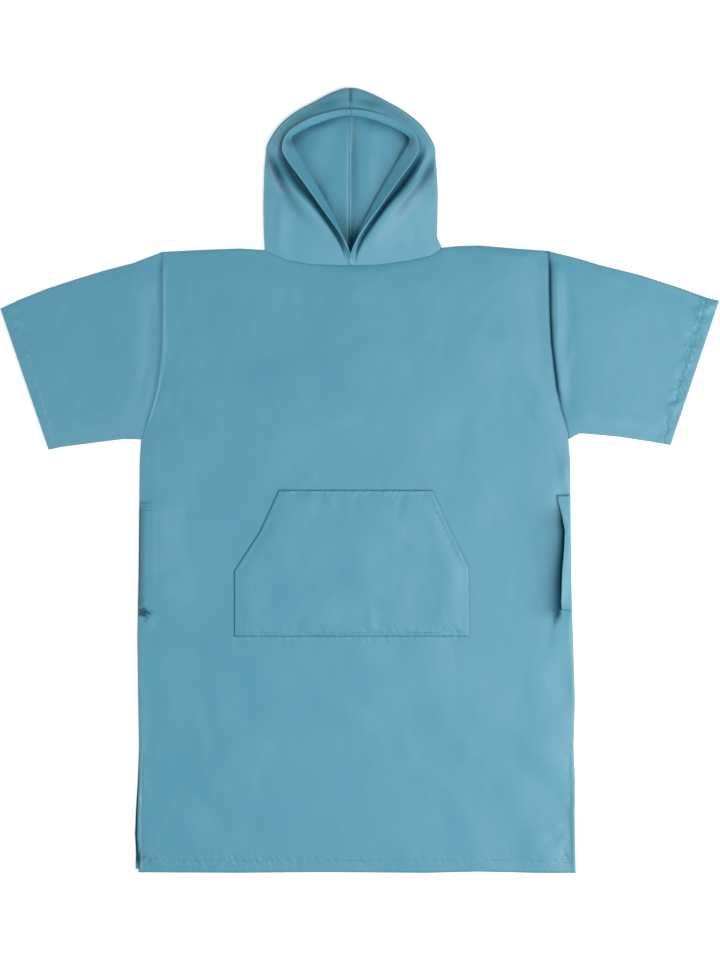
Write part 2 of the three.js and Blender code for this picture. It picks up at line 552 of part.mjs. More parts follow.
// Half of the hood: sections from the back centre seam round the side fold to the rim.
function hoodHalf(name, side) {
  const rows = (HOOD_SECTIONS.length - 1) * HOOD_ROWS_PER_SECTION;
  const middle = [];
  for (let i = 0; i <= rows; i++) {
    const place = i / HOOD_ROWS_PER_SECTION;
    const flare = side > 0 ? HOOD_FLARE_RIGHT * (1 - ease(place / HOOD_FLARE_REACH)) : 0;
    const fold = (key) => new THREE.Vector3(hoodValue((r) => r[key][0], place, -1),
      hoodValue((r) => r[key][1], place), hoodValue((r) => r[key][2] ?? 0, place));
    const seam = new THREE.Vector3(0, hoodValue((r) => r.seamUp, place), HALF_WALL);
    const radius = hoodValue((r) => r.fold, place);
    const sideEdge = fold('side');
    sideEdge.x += flare;
    const inward = seam.clone().sub(sideEdge).setZ(0).normalize();
    const foot = sideEdge.clone().addScaledVector(inward, radius + HALF_WALL).setZ(HALF_WALL);
    const section = [];
    for (let k = 0; k < HOOD_STEPS.floor; k++) section.push(seam.clone().lerp(foot, k / HOOD_STEPS.floor));
    for (let k = 0; k < HOOD_STEPS.fold; k++) {
      const angle = -Math.PI / 2 + Math.PI * k / HOOD_STEPS.fold;
      const point = foot.clone().addScaledVector(inward, -radius * Math.cos(angle));
      section.push(point.setZ(HALF_WALL + radius + radius * Math.sin(angle)));
    }
    const crest = foot.clone().setZ(HALF_WALL + 2 * radius);
    const before = crest.clone().addScaledVector(inward, -radius).setZ(crest.z - radius);
    const knots = [before, crest, fold('shoulder'), fold('ridge'), fold('valley'), fold('turn'), fold('rim')];
    const beyond = knots[6].clone().multiplyScalar(2).sub(knots[5]);
    knots.push(beyond);
    const steps = [HOOD_STEPS.shoulder, HOOD_STEPS.ridge, HOOD_STEPS.valley, HOOD_STEPS.turn, HOOD_STEPS.rim];
    steps.forEach((count, n) => {
      for (let k = 0; k < count; k++) {
        const [a, b, c, d] = knots.slice(n, n + 4);
        const t = k / count;
        section.push(new THREE.Vector3(
          curve(a.x, b.x, c.x, d.x, t), curve(a.y, b.y, c.y, d.y, t), curve(a.z, b.z, c.z, d.z, t)));
      }
    });
    section.push(knots[6]);
    middle.push(section);
  }
  const lastRow = middle.length - 1;
  const placed = middle.map((row, i) => row.map((p, j) => new THREE.Vector3(
    HOOD_MIDDLE_X + side * (Math.max(i === lastRow || j === 0 ? 0 : p.x, 0) + SEAM_GAP / 2),
    NECK_FRONT_Y + p.y, p.z)));
  const foldEnd = HOOD_STEPS.floor + HOOD_STEPS.fold;
  const toSeam = placed[0].map((p, j) => {
    const front = read(FRONT_TOP, 'x', 'y', p.x);
    return (j <= foldEnd ? Math.max(backNeck(p.x), front) : front) + SEAM_GAP - p.y;
  });
  placed.forEach((row, i) => {
    const share = 1 - ease(i / HOOD_ROWS_PER_SECTION / HOOD_SEAM_REACH);
    row.forEach((p, j) => { p.y += toSeam[j] * share; });
  });
  const [under, over] = offsetWall(placed, (normal, i, j) => {
    if (i === lastRow || j === 0) normal.x = 0;
    if (i === 0) normal.y = 0;
  });
  for (const point of [...under.flat(), ...over.flat()]) {
    point.x = HOOD_MIDDLE_X + side * Math.max(side * (point.x - HOOD_MIDDLE_X), SEAM_GAP / 2);
  }
  return clothMesh(name, wallGeometry(under, over, true), HOOD_COLOR);
}

const poncho = new THREE.Group();
poncho.name = 'hooded_bath_poncho';
poncho.add(backPanel(), frontPanel(), sleeve(LEFT_SLEEVE), sleeve(RIGHT_SLEEVE), pocket(), slitStrip(),
  hoodHalf('hood_left', -1), hoodHalf('hood_right', 1));

export default poncho;
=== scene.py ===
import logging
import math
from dataclasses import dataclass, field
from enum import Enum

import bpy
import numpy as np
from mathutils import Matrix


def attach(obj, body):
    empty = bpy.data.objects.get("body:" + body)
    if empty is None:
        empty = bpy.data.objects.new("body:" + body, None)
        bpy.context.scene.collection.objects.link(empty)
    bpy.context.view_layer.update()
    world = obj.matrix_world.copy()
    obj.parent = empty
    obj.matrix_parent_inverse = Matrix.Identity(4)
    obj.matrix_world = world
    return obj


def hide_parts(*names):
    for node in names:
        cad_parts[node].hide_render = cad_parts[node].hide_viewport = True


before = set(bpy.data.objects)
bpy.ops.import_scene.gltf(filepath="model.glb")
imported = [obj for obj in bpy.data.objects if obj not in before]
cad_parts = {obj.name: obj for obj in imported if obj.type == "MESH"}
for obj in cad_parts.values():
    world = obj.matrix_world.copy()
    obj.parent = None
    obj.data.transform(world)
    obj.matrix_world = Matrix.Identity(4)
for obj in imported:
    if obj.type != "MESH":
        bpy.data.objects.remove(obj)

LOG = logging.getLogger("poncho")
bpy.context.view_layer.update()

# Everything below is worked out in millimetres; meshes are stored in metres.
METRE = 0.001
WALL = 1.2
SEAM_GAP = 0.3
# Gaps in the scene, where pieces meet: below 0 one lies a little under the other.
HOOD_SEAM_GAP = -0.06
ARMHOLE_GAP = -0.35
LAYER_TWO = WALL + SEAM_GAP
HEM_Y = -660.0
SHOULDER_Y = 385.0
SHOULDER_LEFT_X = -333.7
SHOULDER_RIGHT_X = 318.5
UNDERARM_Y = 67.5
HOOD_MIDDLE_X = -15.5
NECK_FRONT_Y = 361.6
# Width by which the spacing of the body's columns is worked out.
BODY_ACROSS = 700.0

Array = np.ndarray


def ease(value: Array | float) -> Array:
    """Eased share: 0 below 0, 1 above 1, and 3v^2 - 2v^3 between."""
    held = np.clip(value, 0.0, 1.0)
    return held * held * (3.0 - 2.0 * held)


def bump(distance: Array, width: float) -> Array:
    """Soft bell: exp(-(distance / width)^2)."""
    return np.exp(-((distance / width) ** 2))


def rounded(value: Array) -> Array:
    """Quarter circle: sqrt(1 - (1 - v)^2), steep at 0 and level at 1."""
    return np.sqrt(1.0 - (1.0 - np.clip(value, 0.0, 1.0)) ** 2)


def joined(*parts: Array) -> Array:
    """Points from their coordinates, spread to one shape."""
    return np.stack(np.broadcast_arrays(*parts), axis=-1)


def capped(value: Array, cap: float) -> Array:
    """Rises held softly under a cap: cap tanh(v / cap), and 0 below 0."""
    return cap * np.tanh(np.maximum(value, 0.0) / cap)


def cloud(x: Array, y: Array, size: float, seed: int) -> Array:
    """Soft random field between -1 and 1.

    Lattice values from a seeded table, one for each cell corner of the given size, are mixed by the eased
    share of the way across the cell.

    Args:
        x: Places across, in mm.
        y: Places along, in mm.
        size: Cell size in mm.
        seed: Seed of the lattice.

    Returns:
        The field at each place.
    """
    count = 61
    lattice = np.random.default_rng(seed).uniform(-1.0, 1.0, (count, count))
    across, along = x / size, y / size
    column, row = np.floor(across).astype(int), np.floor(along).astype(int)
    u, v = ease(across - column), ease(along - row)
    c0, c1, r0, r1 = column % count, (column + 1) % count, row % count, (row + 1) % count
    low = lattice[r0, c0] * (1 - u) + lattice[r0, c1] * u
    high = lattice[r1, c0] * (1 - u) + lattice[r1, c1] * u
    return low * (1 - v) + high * v


def graded(length: float, step: float, fine_at: tuple[float, ...] = (), fine: float = 0.0) -> Array:
    """Shares from 0 to 1 along a length, with closer ones at both ends and round named places.

    Args:
        length: Length in mm.
        step: Usual spacing in mm.
        fine_at: Places in mm that get close spacing.
        fine: Spacing there in mm.

    Returns:
        Rising shares from 0 to 1.
    """
    ends = np.array([0.0, 0.5, 1.2, 2.2, 3.6])
    clear = ends[-1] * 1.6
    even = np.linspace(clear, length - clear, max(2, round(length / step)))
    places = [even, ends, length - ends]
    places += [place + fine * np.arange(-2, 3) for place in fine_at]
    merged = np.unique(np.round(np.clip(np.concatenate(places), 0, length), 3))
    keep = np.concatenate([[True], np.diff(merged) > 0.3])
    kept = merged[keep]
    kept[-1] = length
    return kept / length


class Table:
    """A short table with named columns, read in straight lines between its rows."""

    def __init__(self, columns: str, rows: list[tuple[float, ...]]) -> None:
        """Keeps each named column as an array."""
        self.columns = dict(zip(columns.split(), np.array(rows, dtype=float).T))

    def read(self, along: str, out: str, at: Array | float) -> Array:
        """Value of column out where column along is at."""
        order = np.argsort(self.columns[along])
        return np.interp(at, self.columns[along][order], self.columns[out][order])


@dataclass(frozen=True)
class Swell:
    """An oval rise or dip: centre, half length, half width, turn of the long side in degrees, height."""

    x: float
    y: float
    long: float
    wide: float
    turn: float
    rise: float

    def height(self, x: Array, y: Array) -> Array:
        """Height times a bell of the distance from the centre, measured in half lengths and half widths."""
        angle = math.radians(self.turn)
        dx, dy = x - self.x, y - self.y
        along = (dx * math.cos(angle) + dy * math.sin(angle)) / self.long
        across = (dy * math.cos(angle) - dx * math.sin(angle)) / self.wide
        return self.rise * np.exp(-(along**2 + across**2))


def swells_at(swells: list[Swell], x: Array, y: Array) -> Array:
    """Sum of the swells' heights at each place."""
    return sum((swell.height(x, y) for swell in swells), np.zeros(np.broadcast(x, y).shape))


BODY_EDGE = Table("y left right", [
    (-660, -372, 363.5),
    (-632, -372, 363),
    (-602, -374.5, 362.3),
    (-561, -374, 361.8),
    (-505, -372, 362.3),
    (-448, -371.5, 360),
    (-370, -373, 362.3),
    (-262, -374.5, 359),
    (-222, -373.6, 357.6),
    (-168, -372.5, 356),
    (-100, -371.8, 355.3),
    (-22, -371, 354.6),
    (34, -370.3, 354),
    (67.5, -368, 351.3),
    (80, -365.3, 350.6),
    (100, -358.5, 346.6),
    (125, -349.8, 339.2),
    (155, -342.1, 332),
    (190, -337.3, 327.6),
    (230, -333.8, 322.8),
    (285, -332.6, 320),
    (335, -333.1, 319.2),
    (SHOULDER_Y, SHOULDER_LEFT_X, SHOULDER_RIGHT_X),
])
NECK_LEFT_X, NECK_LEFT_Y = -160.3, 387.5
NECK_RIGHT_X, NECK_RIGHT_Y = 139.8, 391.5
FRONT_TOP = Table("x y", [
    (SHOULDER_LEFT_X, 384.2), (-269, 387.5), (-201.5, 390), (NECK_LEFT_X, NECK_LEFT_Y), (-124, 371),
    (-85.5, 364), (-36.5, 361.9), (HOOD_MIDDLE_X, NECK_FRONT_Y), (30.5, 362.8), (82, 369.7),
    (120.5, 378.5), (NECK_RIGHT_X, NECK_RIGHT_Y), (168.7, 394.2), (202.5, 395),
    (270, 389.2), (SHOULDER_RIGHT_X, 385.8),
])
STRIP_EDGE = Table("y x", [
    (-218, 339.4), (-205.5, 338.4), (-154, 340.4), (-116.5, 343.6), (-85.5, 345.2), (-59.5, 340),
    (-36.5, 333.8), (-25.5, 333.2),
])
HEM_WAVE = Table("x y", [
    (-375, 0), (-200, -0.6), (-60, 0.4), (110, -0.8), (200, 1.4), (300, -0.9), (365, -1),
])


def neck_columns(shares: Array) -> Array:
    """Shares across the body in one row, with those of the neck seam's two ends among them."""
    across = SHOULDER_RIGHT_X - SHOULDER_LEFT_X
    ends = (np.array([NECK_LEFT_X, NECK_RIGHT_X]) - SHOULDER_LEFT_X) / across
    return np.unique(np.concatenate([shares, ends]))[None, :]


class Side(Enum):
    """Side of the garment as the photo shows it."""

    LEFT = -1
    RIGHT = 1


@dataclass
class Lane:
    """A sewn line on a piece.

    It has distances inside the edge and along it, its depth inside, and how far and how much it puckers.
    """

    inside: Array
    along: Array
    depth: float
    reach: float
    amount: Array | float

    def weight(self) -> Array:
        """Amount times a bell of the distance from the sewn line."""
        return self.amount * bump(self.inside - self.depth, self.reach)


def strongest_lane(lanes: list[Lane]) -> Array:
    """Distance along, distance inside and pucker of the lane that weighs most at each point."""
    weights = np.stack(np.broadcast_arrays(*[lane.weight() for lane in lanes]))
    pick = weights.argmax(axis=0)[None]
    stacks = [np.stack(np.broadcast_arrays(*[getattr(lane, key) + 0 * weights[0] for lane in lanes]))
              for key in ("along", "inside")]
    return np.stack([np.take_along_axis(stack, pick, 0)[0] for stack in (*stacks, weights)], axis=-1)


# Mesh building

def grid_quads(index: Array) -> Array:
    """Four corners of every cell of an index grid, one row each."""
    return np.stack([index[:-1, :-1], index[:-1, 1:], index[1:, 1:], index[1:, :-1]], axis=-1).reshape(-1, 4)


def link_object(name: str, data: bpy.types.ID) -> bpy.types.Object:
    """An object at the origin, put in the scene."""
    made = bpy.data.objects.new(name, data)
    bpy.context.scene.collection.objects.link(made)
    return made


def new_mesh(name: str, points: Array, cells: Array) -> bpy.types.Mesh:
    """A mesh from arrays.

    Args:
        name: Mesh name.
        points: Vertices in mm, one row each.
        cells: Vertex numbers of each face, four a row, with -1 as the last of a three-sided one.

    Returns:
        The mesh.
    """
    used = cells >= 0
    corners = used.sum(axis=1)
    mesh = bpy.data.meshes.new(name)
    mesh.vertices.add(len(points))
    mesh.vertices.foreach_set("co", (points * METRE).astype(np.float32).ravel())
    mesh.loops.add(int(corners.sum()))
    mesh.loops.foreach_set("vertex_index", cells[used].astype(np.int32))
    mesh.polygons.add(len(cells))
    mesh.polygons.foreach_set("loop_start", (np.cumsum(corners) - corners).astype(np.int32))
    mesh.update(calc_edges=True)
    return mesh


def make_object(name: str, points: Array, quads: Array, uv: Array, smooth: Array) -> bpy.types.Object:
    """A mesh object from arrays.

    Args:
        name: Object name.
        points: Vertices in mm, one row each.
        quads: Vertex numbers of each four-sided face.
        uv: Cloth coordinates in metres of each face corner.
        smooth: True for each face shaded smooth.

    Returns:
        The linked object, at the origin.
    """
    if signed_volume(points, quads) < 0:
        quads, uv = quads[:, ::-1], uv.reshape(-1, 4, 2)[:, ::-1].reshape(-1, 2)
    mesh = new_mesh(name, points, quads)
    mesh.polygons.foreach_set("use_smooth", smooth)
    layer = mesh.uv_layers.new(name="cloth")
    layer.data.foreach_set("uv", uv.astype(np.float32).ravel())
    mesh.validate()
    return link_object(name, mesh)


def signed_volume(points: Array, quads: Array) -> float:
    """Sum over the faces' triangles of a . (b x c) / 6."""
    total = 0.0
    for a, b, c in ((0, 1, 2), (0, 2, 3)):
        pa, pb, pc = points[quads[:, a]], points[quads[:, b]], points[quads[:, c]]
        total += float(np.einsum("ij,ij->", pa, np.cross(pb, pc)))
    return total / 6.0


@dataclass
class Marks:
    """What the finish reads from a piece's mesh, each given on the grid of its faces or left out.

    sewn holds distance along, distance inside and pucker share. The second mark is painted shade, how much
    shade is painted into the colour at a place. The third is how far the inner face is mixed toward a second
    tone, darker than the hood's: painted shade for the hood's shaded inside.
    """

    sewn: Array | None = None
    painted_shade: Array | None = None
    inner_shade_tint: Array | None = None

    def write(self, mesh: bpy.types.Mesh, shape: tuple[int, int]) -> None:
        """Stores the marks for the outer face's points and then the inner face's."""
        sewn = np.zeros((*shape, 3)) if self.sewn is None else self.sewn
        painted_shade = np.zeros(shape) if self.painted_shade is None else self.painted_shade
        inner_shade_tint = np.ones(shape) if self.inner_shade_tint is None else self.inner_shade_tint
        layer = mesh.attributes.new("sewn", "FLOAT_VECTOR", "POINT")
        layer.data.foreach_set("vector", np.tile(sewn.reshape(-1, 3), (2, 1)).astype(np.float32).ravel())
        for name, values in (("painted_shade", (painted_shade, painted_shade)), ("inner_shade_tint", (0 * inner_shade_tint, inner_shade_tint))):
            layer = mesh.attributes.new(name, "FLOAT", "POINT")
            layer.data.foreach_set("value", np.stack(values).astype(np.float32).ravel())


def wall_object(name: str, under: Array, over: Array, uv: Array, marks: Marks | None = None,
                ring: bool = False) -> bpy.types.Object:
    """A closed cloth wall between two grids of points.

    Both faces are the grids' cells, and the edges are one row of cells from the outer face to the inner.

    Args:
        name: Object name.
        under: Inner face, rows by columns by 3, in mm.
        over: Outer face, the same shape.
        uv: Cloth coordinates in metres, rows by columns (one column more on a ring) by 2.
        marks: What the finish reads at each point.
        ring: True where the last column joins the first.

    Returns:
        The object.
    """
    rows, columns = over.shape[:2]
    count = rows * columns
    index = np.arange(count).reshape(rows, columns)
    if ring:
        index = np.hstack([index, index[:, :1]])
    uv_index = np.arange(uv.shape[0] * uv.shape[1]).reshape(uv.shape[:2])
    faces, corners = [grid_quads(index), grid_quads(index + count)[:, ::-1]], [grid_quads(uv_index)] * 2
    corners[1] = corners[1][:, ::-1]
    borders = [(index[0][::-1], uv_index[0][::-1]), (index[-1], uv_index[-1])]
    if not ring:
        borders += [(index[:, 0], uv_index[:, 0]), (index[::-1, -1], uv_index[::-1, -1])]
    side_count = 0
    for edge, edge_uv in borders:
        faces.append(np.stack([edge[:-1], edge[1:], edge[1:] + count, edge[:-1] + count], axis=-1))
        corners.append(np.stack([edge_uv[:-1], edge_uv[1:], edge_uv[1:], edge_uv[:-1]], axis=-1))
        side_count += len(edge) - 1
    quads = np.concatenate(faces)
    flat_uv = uv.reshape(-1, 2)[np.concatenate(corners).ravel()]
    smooth = np.arange(len(quads)) < len(quads) - side_count
    points = np.concatenate([over.reshape(-1, 3), under.reshape(-1, 3)])
    made = make_object(name, points, quads, flat_uv, smooth)
    (marks or Marks()).write(made.data, (rows, columns))
    return made


def surface_normals(grid: Array) -> Array:
    """Unit normals of a grid: cross product of the steps along a row and along a column."""
    along_row = np.gradient(grid, axis=1)
    along_column = np.gradient(grid, axis=0)
    normal = np.cross(along_row, along_column)
    return normal / np.maximum(np.linalg.norm(normal, axis=-1, keepdims=True), 1e-9)


@dataclass(frozen=True)
class StitchSize:
    """One stitch of the sewing thread, in mm."""

    length: float = 2.8
    pitch: float = 3.6
    width: float = 1.0
    height: float = 0.6


def sample_path(at: Array, reach: Array, values: Array) -> Array:
    """Rows of values at lengths along a path, in straight lines between its points."""
    return np.stack([np.interp(at, reach, values[:, k]) for k in range(3)], axis=-1)


def stitch_run(path: Array, up: Array, size: StitchSize) -> tuple[Array, Array]:
    """Spindles laid end to end along a path.

    A stitch is two tips and two rings of four points, carried to even steps of the path's length with its
    long side along the path and its height along the cloth's normal.

    Args:
        path: Points on the cloth, in mm.
        up: Cloth normal at each point.
        size: Size of the stitch.

    Returns:
        Points and four-sided faces, numbered from 0.
    """
    steps = np.linalg.norm(np.diff(path, axis=0), axis=1)
    reach = np.concatenate([[0.0], np.cumsum(steps)])
    count = max(1, int((reach[-1] - size.length) / size.pitch))
    centre_at = size.length / 2 + size.pitch * np.arange(count)
    centre = sample_path(centre_at, reach, path)
    forward = sample_path(centre_at + size.length / 2, reach, path)
    forward -= sample_path(centre_at - size.length / 2, reach, path)
    forward /= np.maximum(np.linalg.norm(forward, axis=1, keepdims=True), 1e-9)
    normal = sample_path(centre_at, reach, up)
    sideways = np.cross(normal, forward)
    sideways /= np.maximum(np.linalg.norm(sideways, axis=1, keepdims=True), 1e-9)
    ring = [(1, 0), (0, 1), (-1, 0), (0, -1)]
    rings = [(reach_along, *corner) for reach_along in (-0.22, 0.22) for corner in ring]
    shape = [(-0.5, 0.0, 0.0), *rings, (0.5, 0.0, 0.0)]
    local = np.array(shape) * (size.length, size.width / 2, size.height / 2)
    points = centre[:, None] + local[None, :, :1] * forward[:, None]
    points = points + local[None, :, 1:2] * sideways[:, None]
    points = points + local[None, :, 2:] * normal[:, None]
    cells = [(0, 1 + (k + 1) % 4, 1 + k, -1) for k in range(4)]
    cells += [(1 + k, 1 + (k + 1) % 4, 5 + (k + 1) % 4, 5 + k) for k in range(4)]
    cells += [(9, 5 + k, 5 + (k + 1) % 4, -1) for k in range(4)]
    faces = np.array(cells)
    first = len(shape) * np.arange(count)[:, None, None]
    return points.reshape(-1, 3), faces[None] + np.where(faces < 0, 0, first)


class Stitching:
    """Rows of stitches gathered into one mesh."""

    def __init__(self, name: str, size: StitchSize | None = None) -> None:
        """Starts with no rows."""
        self.name = name
        self.size = size or StitchSize()
        self.points: list[Array] = []
        self.faces: list[Array] = []
        self.count = 0

    def row(self, path: Array, up: Array) -> None:
        """Adds one row of stitches along a path on the cloth."""
        points, faces = stitch_run(path, up, self.size)
        self.points.append(points)
        self.faces.append(np.where(faces < 0, faces, faces + self.count).reshape(-1, 4))
        self.count += len(points)

    def build(self, finish: "Finish") -> bpy.types.Object:
        """Makes the joined mesh and dresses it.

        Args:
            finish: Thread finish.

        Returns:
            The object.
        """
        cells = np.concatenate(self.faces)
        mesh = new_mesh(self.name, np.concatenate(self.points), cells)
        mesh.polygons.foreach_set("use_smooth", np.ones(len(cells), dtype=bool))
        made = link_object(self.name, mesh)
        dress(made, finish)
        return made


# Shader building

class Value:
    """A shader number under construction: arithmetic on it adds Math nodes."""

    def __init__(self, shader: "Shader", socket: bpy.types.NodeSocket) -> None:
        """Keeps the tree and the socket that gives the number."""
        self.shader = shader
        self.socket = socket

    def _math(self, operation: str, first: "Value | float", second: "Value | float") -> "Value":
        """A Math node on two numbers."""
        return Value(self.shader, self.shader.node(
            "ShaderNodeMath", {"operation": operation}, {0: first, 1: second}).outputs[0])

    def __add__(self, other: "Value | float") -> "Value":
        """Sum."""
        return self._math("ADD", self, other)

    __radd__ = __add__

    def __mul__(self, other: "Value | float") -> "Value":
        """Product."""
        return self._math("MULTIPLY", self, other)

    __rmul__ = __mul__

    def __sub__(self, other: "Value | float") -> "Value":
        """Difference."""
        return self._math("SUBTRACT", self, other)

    def __rsub__(self, other: "Value | float") -> "Value":
        """Difference from a number."""
        return self._math("SUBTRACT", other, self)

    def sine(self) -> "Value":
        """Sine."""
        return self._math("SINE", self, 0.0)


class Shader:
    """A material's node tree, built through one method for any node."""

    def __init__(self, name: str) -> None:
        """Starts an empty material with its output."""
        self.material = bpy.data.materials.new(name)
        self.material.use_nodes = True
        self.tree = self.material.node_tree
        self.tree.nodes.clear()
        self.output = self.tree.nodes.new("ShaderNodeOutputMaterial")

    def node(self, kind: str, settings: dict, inputs: dict) -> bpy.types.Node:
        """Adds a node.

        Args:
            kind: Node type.
            settings: Its properties, set first.
            inputs: Its sockets by name or number, each a number, colour, Value or output socket.

        Returns:
            The node.
        """
        made = self.tree.nodes.new(kind)
        for key, value in settings.items():
            setattr(made, key, value)
        for key, value in inputs.items():
            self.feed(made.inputs[key], value)
        return made

    def feed(self, socket: bpy.types.NodeSocket, value: object) -> None:
        """Links a Value or an output to an input, or sets the input's own number or colour."""
        if isinstance(value, Value):
            self.tree.links.new(value.socket, socket)
        elif isinstance(value, bpy.types.NodeSocket):
            self.tree.links.new(value, socket)
        else:
            socket.default_value = value

    def value(self, socket: bpy.types.NodeSocket) -> Value:
        """Wraps a socket for arithmetic."""
        return Value(self, socket)

    def noise(self, vector: bpy.types.NodeSocket, scale: float, detail: float, rough: float = 0.5) -> Value:
        """Noise around 0.5 at a scale per unit of the vector."""
        made = self.node("ShaderNodeTexNoise", {"noise_dimensions": "3D"}, {
            "Vector": vector, "Scale": scale, "Detail": detail, "Roughness": rough})
        return self.value(made.outputs[0])

    def scaled(self, vector: bpy.types.NodeSocket, factors: tuple) -> bpy.types.NodeSocket:
        """The vector with each of its three parts multiplied."""
        made = self.node("ShaderNodeVectorMath", {"operation": "MULTIPLY"}, {0: vector, 1: factors})
        return made.outputs[0]

    def in_mm(self, vector: bpy.types.NodeSocket) -> bpy.types.NodeSocket:
        """A vector in metres turned into millimetres."""
        return self.scaled(vector, (1 / METRE, 1 / METRE, 1 / METRE))

    def mix(self, share: Value | float, first: object, second: object) -> bpy.types.NodeSocket:
        """Colour between two colours."""
        made = self.node("ShaderNodeMix", {"data_type": "RGBA"}, {})
        for number, value in ((0, share), (6, first), (7, second)):
            self.feed(made.inputs[number], value)
        return made.outputs[2]

    def mark(self, name: str, output: str = "Fac") -> bpy.types.NodeSocket:
        """What the mesh says at each point under a name."""
        return self.node("ShaderNodeAttribute", {"attribute_name": name}, {}).outputs[output]

    def parts(self, vector: bpy.types.NodeSocket) -> list[Value]:
        """The vector's three numbers."""
        split = self.node("ShaderNodeSeparateXYZ", {}, {0: vector})
        return [self.value(split.outputs[k]) for k in range(3)]

    def surface(self, socket: bpy.types.NodeSocket) -> bpy.types.Material:
        """Links the surface and hands back the material."""
        self.tree.links.new(socket, self.output.inputs["Surface"])
        return self.material


class Finish:
    """Something that can make its material once."""

    name: str
    slot: str

    def build(self) -> bpy.types.Material:
        """Makes the material."""
        raise NotImplementedError


@dataclass(frozen=True)
class BrushedMicrofibre(Finish):
    """Smooth short-nap microfibre towelling: a fine weave under a brushed nap that lies unevenly."""

    name: str = "brushed_microfibre"
    slot: str = "body_cloth"
    color: tuple[float, float, float] = (0.069, 0.310, 0.428)
    nap_light: tuple[float, float, float] = (0.084, 0.344, 0.466)
    nap_dark: tuple[float, float, float] = (0.050, 0.280, 0.398)
    weave_mm: float = 1.05
    weave_height_mm: float = 0.035
    nap_height_mm: float = 0.05
    brushed_mm: tuple[float, float] = (16.0, 70.0)
    patch_mm: float = 130.0
    roughness: float = 0.43
    gloss: float = 0.9
    sheen: float = 0.1
    # Painted shade: the tone that inner faces are mixed toward, darker than the hood's colours, for the
    # hood's shaded inside.
    inner_shade_tint: tuple[float, float, float] = (0.064, 0.312, 0.432)
    # Painted shade: the dark colour put where the mesh marks shade.
    shaded: tuple[float, float, float] = (0.0, 0.05, 0.095)
    pucker_mm: float = 0.8
    pucker_pitch: tuple[float, float] = (8.5, 15.0)
    pucker_slant: float = 0.45

    def build(self) -> bpy.types.Material:
        """Two crossed sine waves make the weave; noise at three sizes makes nap, brushing and patches."""
        shader = Shader(self.name)
        cloth = shader.node("ShaderNodeUVMap", {"uv_map": "cloth"}, {}).outputs[0]
        mm = shader.in_mm(cloth)
        across, along, _ = shader.parts(mm)
        turn = 2.0 * math.pi / self.weave_mm
        warp, weft = (across * turn).sine(), (along * turn).sine()
        nap = shader.noise(mm, 0.9, 3.0, 0.65)
        drawn = shader.scaled(mm, (1 / self.brushed_mm[0], 1 / self.brushed_mm[1], 1.0))
        brushed = shader.noise(drawn, 1.0, 3.0)
        patch = shader.noise(mm, 1 / self.patch_mm, 2.0)
        lint = shader.noise(mm, 0.22, 2.0)
        shade = 0.5 + (brushed - 0.5) * 0.7 + (patch - 0.5) * 0.9
        shade = shade + (nap - 0.5) * 0.5 + (lint - 0.5) * 0.25
        tint = shader.mix(shade, (*self.nap_dark, 1.0), (*self.nap_light, 1.0))
        tint = shader.mix(0.35, tint, (*self.color, 1.0))
        # Painted shade: inner faces are mixed toward that tone.
        back = shader.mix(0.8, tint, (*self.inner_shade_tint, 1.0))
        tint = shader.mix(shader.mark("inner_shade_tint"), tint, back)
        height = warp * weft * self.weave_height_mm + (nap - 0.5) * (2 * self.nap_height_mm)
        height = height + self.puckers(shader)
        relief = shader.node("ShaderNodeBump", {}, {"Strength": 1.0, "Distance": METRE, "Height": height})
        body = shader.node("ShaderNodeBsdfPrincipled", {}, {
            "Base Color": tint, "Roughness": self.roughness + (nap - 0.5) * 0.1,
            "Normal": relief.outputs[0], "Sheen Weight": self.sheen, "Sheen Roughness": 0.42,
            "Sheen Tint": (0.72, 0.9, 1.0, 1.0), "Specular IOR Level": self.gloss,
        })
        # Painted shade: a dark, nearly matt copy of the cloth, mixed in as far as the mesh's shade mark says.
        shade_paint_bsdf = shader.node("ShaderNodeBsdfPrincipled", {}, {
            "Base Color": (*self.shaded, 1.0), "Roughness": 0.9, "Normal": relief.outputs[0],
            "Specular IOR Level": 0.1,
        })
        both = shader.node("ShaderNodeMixShader", {}, {
            0: shader.mark("painted_shade"), 1: body.outputs[0], 2: shade_paint_bsdf.outputs[0],
        })
        return shader.surface(both.outputs[0])

    def puckers(self, shader: Shader) -> Value:
        """Short wrinkles that cross the sewn lines aslant, as high as the mesh's pucker share says.

        Args:
            shader: Material under construction.

        Returns:
            Height in mm.
        """
        along, inside, share = shader.parts(shader.mark("sewn", "Vector"))
        slanted = (along + inside * self.pucker_slant) * (1 / self.pucker_pitch[0])
        inward = inside * (1 / self.pucker_pitch[1])
        spot = shader.node("ShaderNodeCombineXYZ", {}, {0: slanted, 1: inward})
        wrinkle = shader.noise(spot.outputs[0], 1.0, 2.0)
        return (wrinkle - 0.5) * share * (2 * self.pucker_mm)


@dataclass(frozen=True)
class PaintedLightHoodMicrofibre(BrushedMicrofibre):
    """The same cloth on the hood in lighter colours, painted light that makes the hood read brighter than the
    body.
    """

    name: str = "hood_microfibre"
    slot: str = "hood_cloth"
    color: tuple[float, float, float] = (0.092, 0.348, 0.466)
    nap_light: tuple[float, float, float] = (0.112, 0.380, 0.500)
    nap_dark: tuple[float, float, float] = (0.074, 0.316, 0.432)
    patch_mm: float = 90.0


